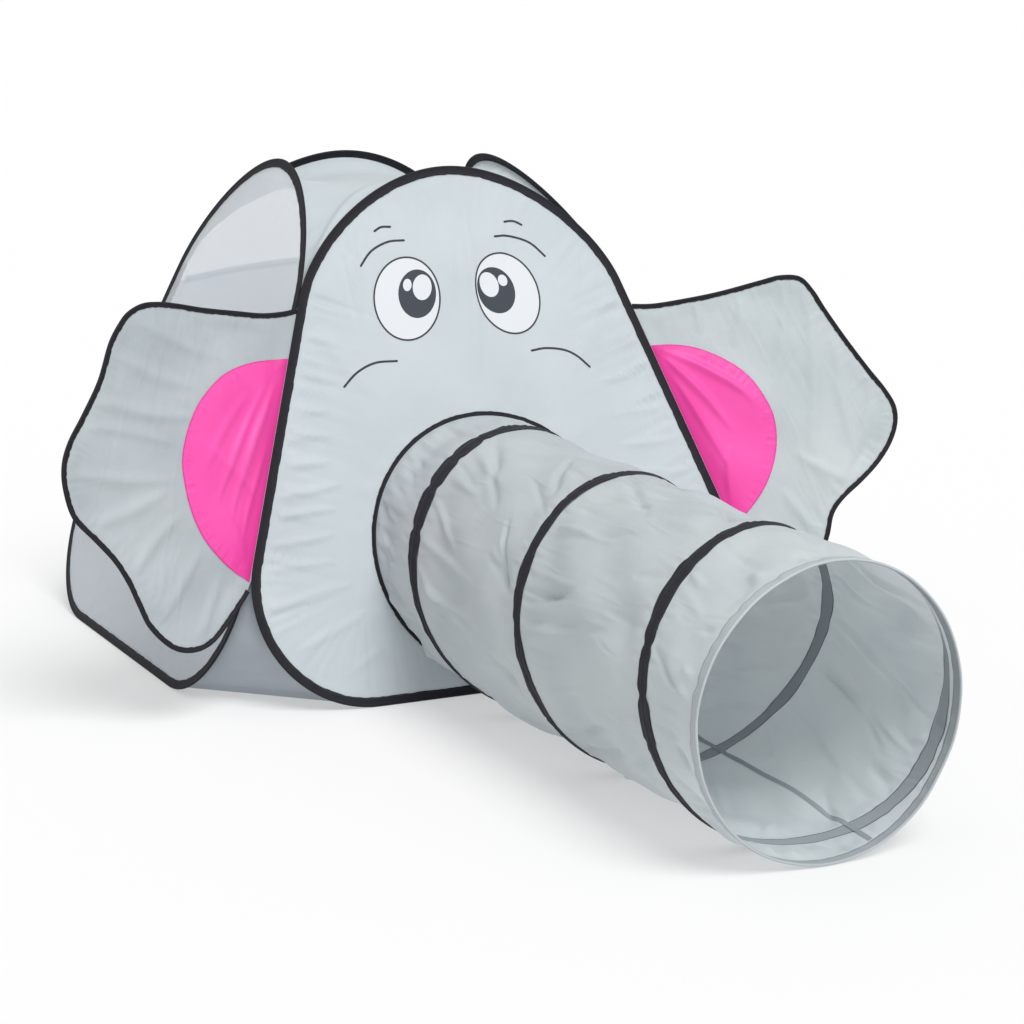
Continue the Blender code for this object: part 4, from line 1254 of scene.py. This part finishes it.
LINING_FOLDS = {
    "left": in_metres([
        (12, 640, 60, 360, 9, 3.6, 10), (35, 630, 95, 380, 8, 3, 8), (6, 560, 30, 330, 7, 3, 4),
        (70, 600, 135, 430, 10, 2.6, 8), (10, 300, 110, 400, 9, 2.4, 4), (20, 420, 150, 480, 10, 2, 4),
    ]),
    "right": in_metres([
        (10, 655, 130, 500, 9, 4, 8), (8, 640, 80, 440, 9, 4, 8), (6, 610, 40, 380, 8, 3.4, 6),
        (30, 650, 150, 560, 8, 2.6, 4), (8, 300, 60, 420, 8, 2.6, 4), (100, 560, 160, 440, 9, 2.4, 4),
    ]),
}


def ear_height(name, u, v):
    """How far the ear's cloth stands off its plane, to the front."""
    gap, which = nearest(u, v, ear_lines[name])
    free = rise(gap, EAR_TAPE_WIDTH - 0.001, EAR_TAPE_WIDTH + 0.030) * rise(u, 0.0, 0.030)
    pinch = 0.0008 * ripple(which * 0.0038, 110 if name == "left" else 111, 0.018, 0.06)
    pinch = pinch * rise(gap, EAR_TAPE_WIDTH - 0.001, EAR_TAPE_WIDTH + 0.012) * np.exp(-(gap / 0.040) ** 1.5)
    folds = sum(crease(u, v, *fold) for fold in EAR_FOLDS[name])
    broad = 0.0062 * drift(u, v, 112 if name == "left" else 113, 0.12, 0.40)
    return (1.25 * folds + broad) * free + pinch * rise(u, 0, 0.03)


def lining_height(name, u, v):
    """The lining lies on the ear's cloth, fixed along its seam and loose within it."""
    gap, which = nearest(u, v, lining_lines[name])
    seam = np.abs(ripple(which * 0.0032, 115, 0.014, 0.05)) * 0.0018 * np.exp(-((gap - 0.012) / 0.010) ** 2)
    free = rise(u, 0.0005, 0.008)
    loose = 1.5 * sum(crease(u, v, *fold) for fold in LINING_FOLDS[name]) + 0.0030
    return (ear_height(name, u, v) + 0.0003 + (0.0005 + seam) * free
            + loose * rise(gap, 0.003, 0.035) * rise(u, 0.004, 0.030))


# %% the ears' pieces
for side, name in ((-1, "left"), (1, "right")):
    matrix = ear_frame(side)
    body = f"ear_{name}"
    ear_line, lining_line = ear_lines[name], lining_lines[name]
    # The outline runs clockwise, so the inner side is on its right
    ear_in = -inward(ear_line, closed=False)
    s, t, off, flat = fold_round(ear_line, ear_in, EAR_TAPE_WIDTH, 120 + side, closed=False, wander=0.0005)
    tape = grid_sheet(f"{body}_tape", stand(matrix, side * s, t, off), flat, hoop_tape)
    dress(tape, body, [f"{body}_binding"])
    # The wire stops short of the tape's two ends, which are pressed flat
    s, t, off = wire_round(ear_line[7:-7], ear_in[7:-7], closed=False)
    wire_piece(f"{body}_hoop_wire", stand(matrix, side * s, t, off), body, f"{body}_wire")
    cut = ear_line + 0.006 * ear_in
    cut[:, 0] = np.maximum(cut[:, 0], np.where(cut[:, 1] < 0.3, -0.0040, -0.0020))
    closed = np.concatenate([cut, [[-0.0030, 0.268]], [[-0.0020, cut[0, 1]]], cut[:1]])[::-1]
    flat = fan(evenly(closed, 480), np.array([0.200, 0.450]), 80)
    s, t = flat[..., 0], flat[..., 1]
    cloth = grid_sheet(f"{body}_cover", stand(matrix, side * s, t, ear_height(name, s, t)), flat,
                       ear_taffeta[name], inside=BEHIND_EARS)
    dress(cloth, body, [f"{body}_cloth"])
    closed = ring_of(lining_line)[::-1]
    flat = fan(evenly(closed, 280), np.array([0.070, 0.460]), 44)
    s, t = flat[..., 0], flat[..., 1]
    lining = grid_sheet(f"{body}_lining_cloth", stand(matrix, side * s, t, lining_height(name, s, t)), flat,
                        pink_taffeta, inside=BEHIND_EARS)
    mark_corners(lining, "to_seam", lambda u, v: nearest(u, v, lining_lines[name])[0])
    dress(lining, body, [f"{body}_lining"])
    print(body, "cloth", round(cloth_area(cloth), 3), "lining", round(cloth_area(lining), 3), "m2")

# %% [markdown]
# ## Studio
# A pale floor that runs out of sight, an even white sky and one soft lamp high in front, as
# in a catalogue studio.

# %% floor, light and camera
material, tree = new_material("studio floor")
shader = add_node(tree, "ShaderNodeBsdfPrincipled", {"Base Color": (0.45, 0.45, 0.45, 1), "Roughness": 0.9,
                                                     "Specular IOR Level": 0.1, "Emission Strength": 0.42,
                                                     "Emission Color": (1.0, 1.0, 1.0, 1)})
finish(material, tree, shader.outputs[0])
bm = bmesh.new()
bmesh.ops.create_circle(bm, cap_ends=True, segments=64, radius=400.0)
studio_floor = as_object("studio_floor", bm, material)

world = bpy.data.worlds.new("white studio")
world.use_nodes = True
sky = world.node_tree.nodes["Background"].inputs
sky["Color"].default_value, sky["Strength"].default_value = (1.0, 1.0, 1.0, 1.0), 0.64
bpy.context.scene.world = world

lamp_data = bpy.data.lights.new("soft lamp", "SUN")
lamp_data.energy, lamp_data.angle = 2.45, radians(34)
lamp = in_scene("soft_lamp", lamp_data)
lamp.rotation_euler = Vector((-0.05, 0.58, -0.80)).to_track_quat("-Z", "Y").to_euler()

camera_data = bpy.data.cameras.new("photo camera")
camera_data.sensor_width, camera_data.lens = 36.0, 91.37
camera = in_scene("photo_camera", camera_data)
camera.location = (-2.060, -4.776, 1.289)
camera.rotation_euler = (radians(90 - 11.56), 0.0, radians(-25.95))
bpy.context.scene.camera = camera
bpy.context.scene.view_settings.view_transform = "Standard"
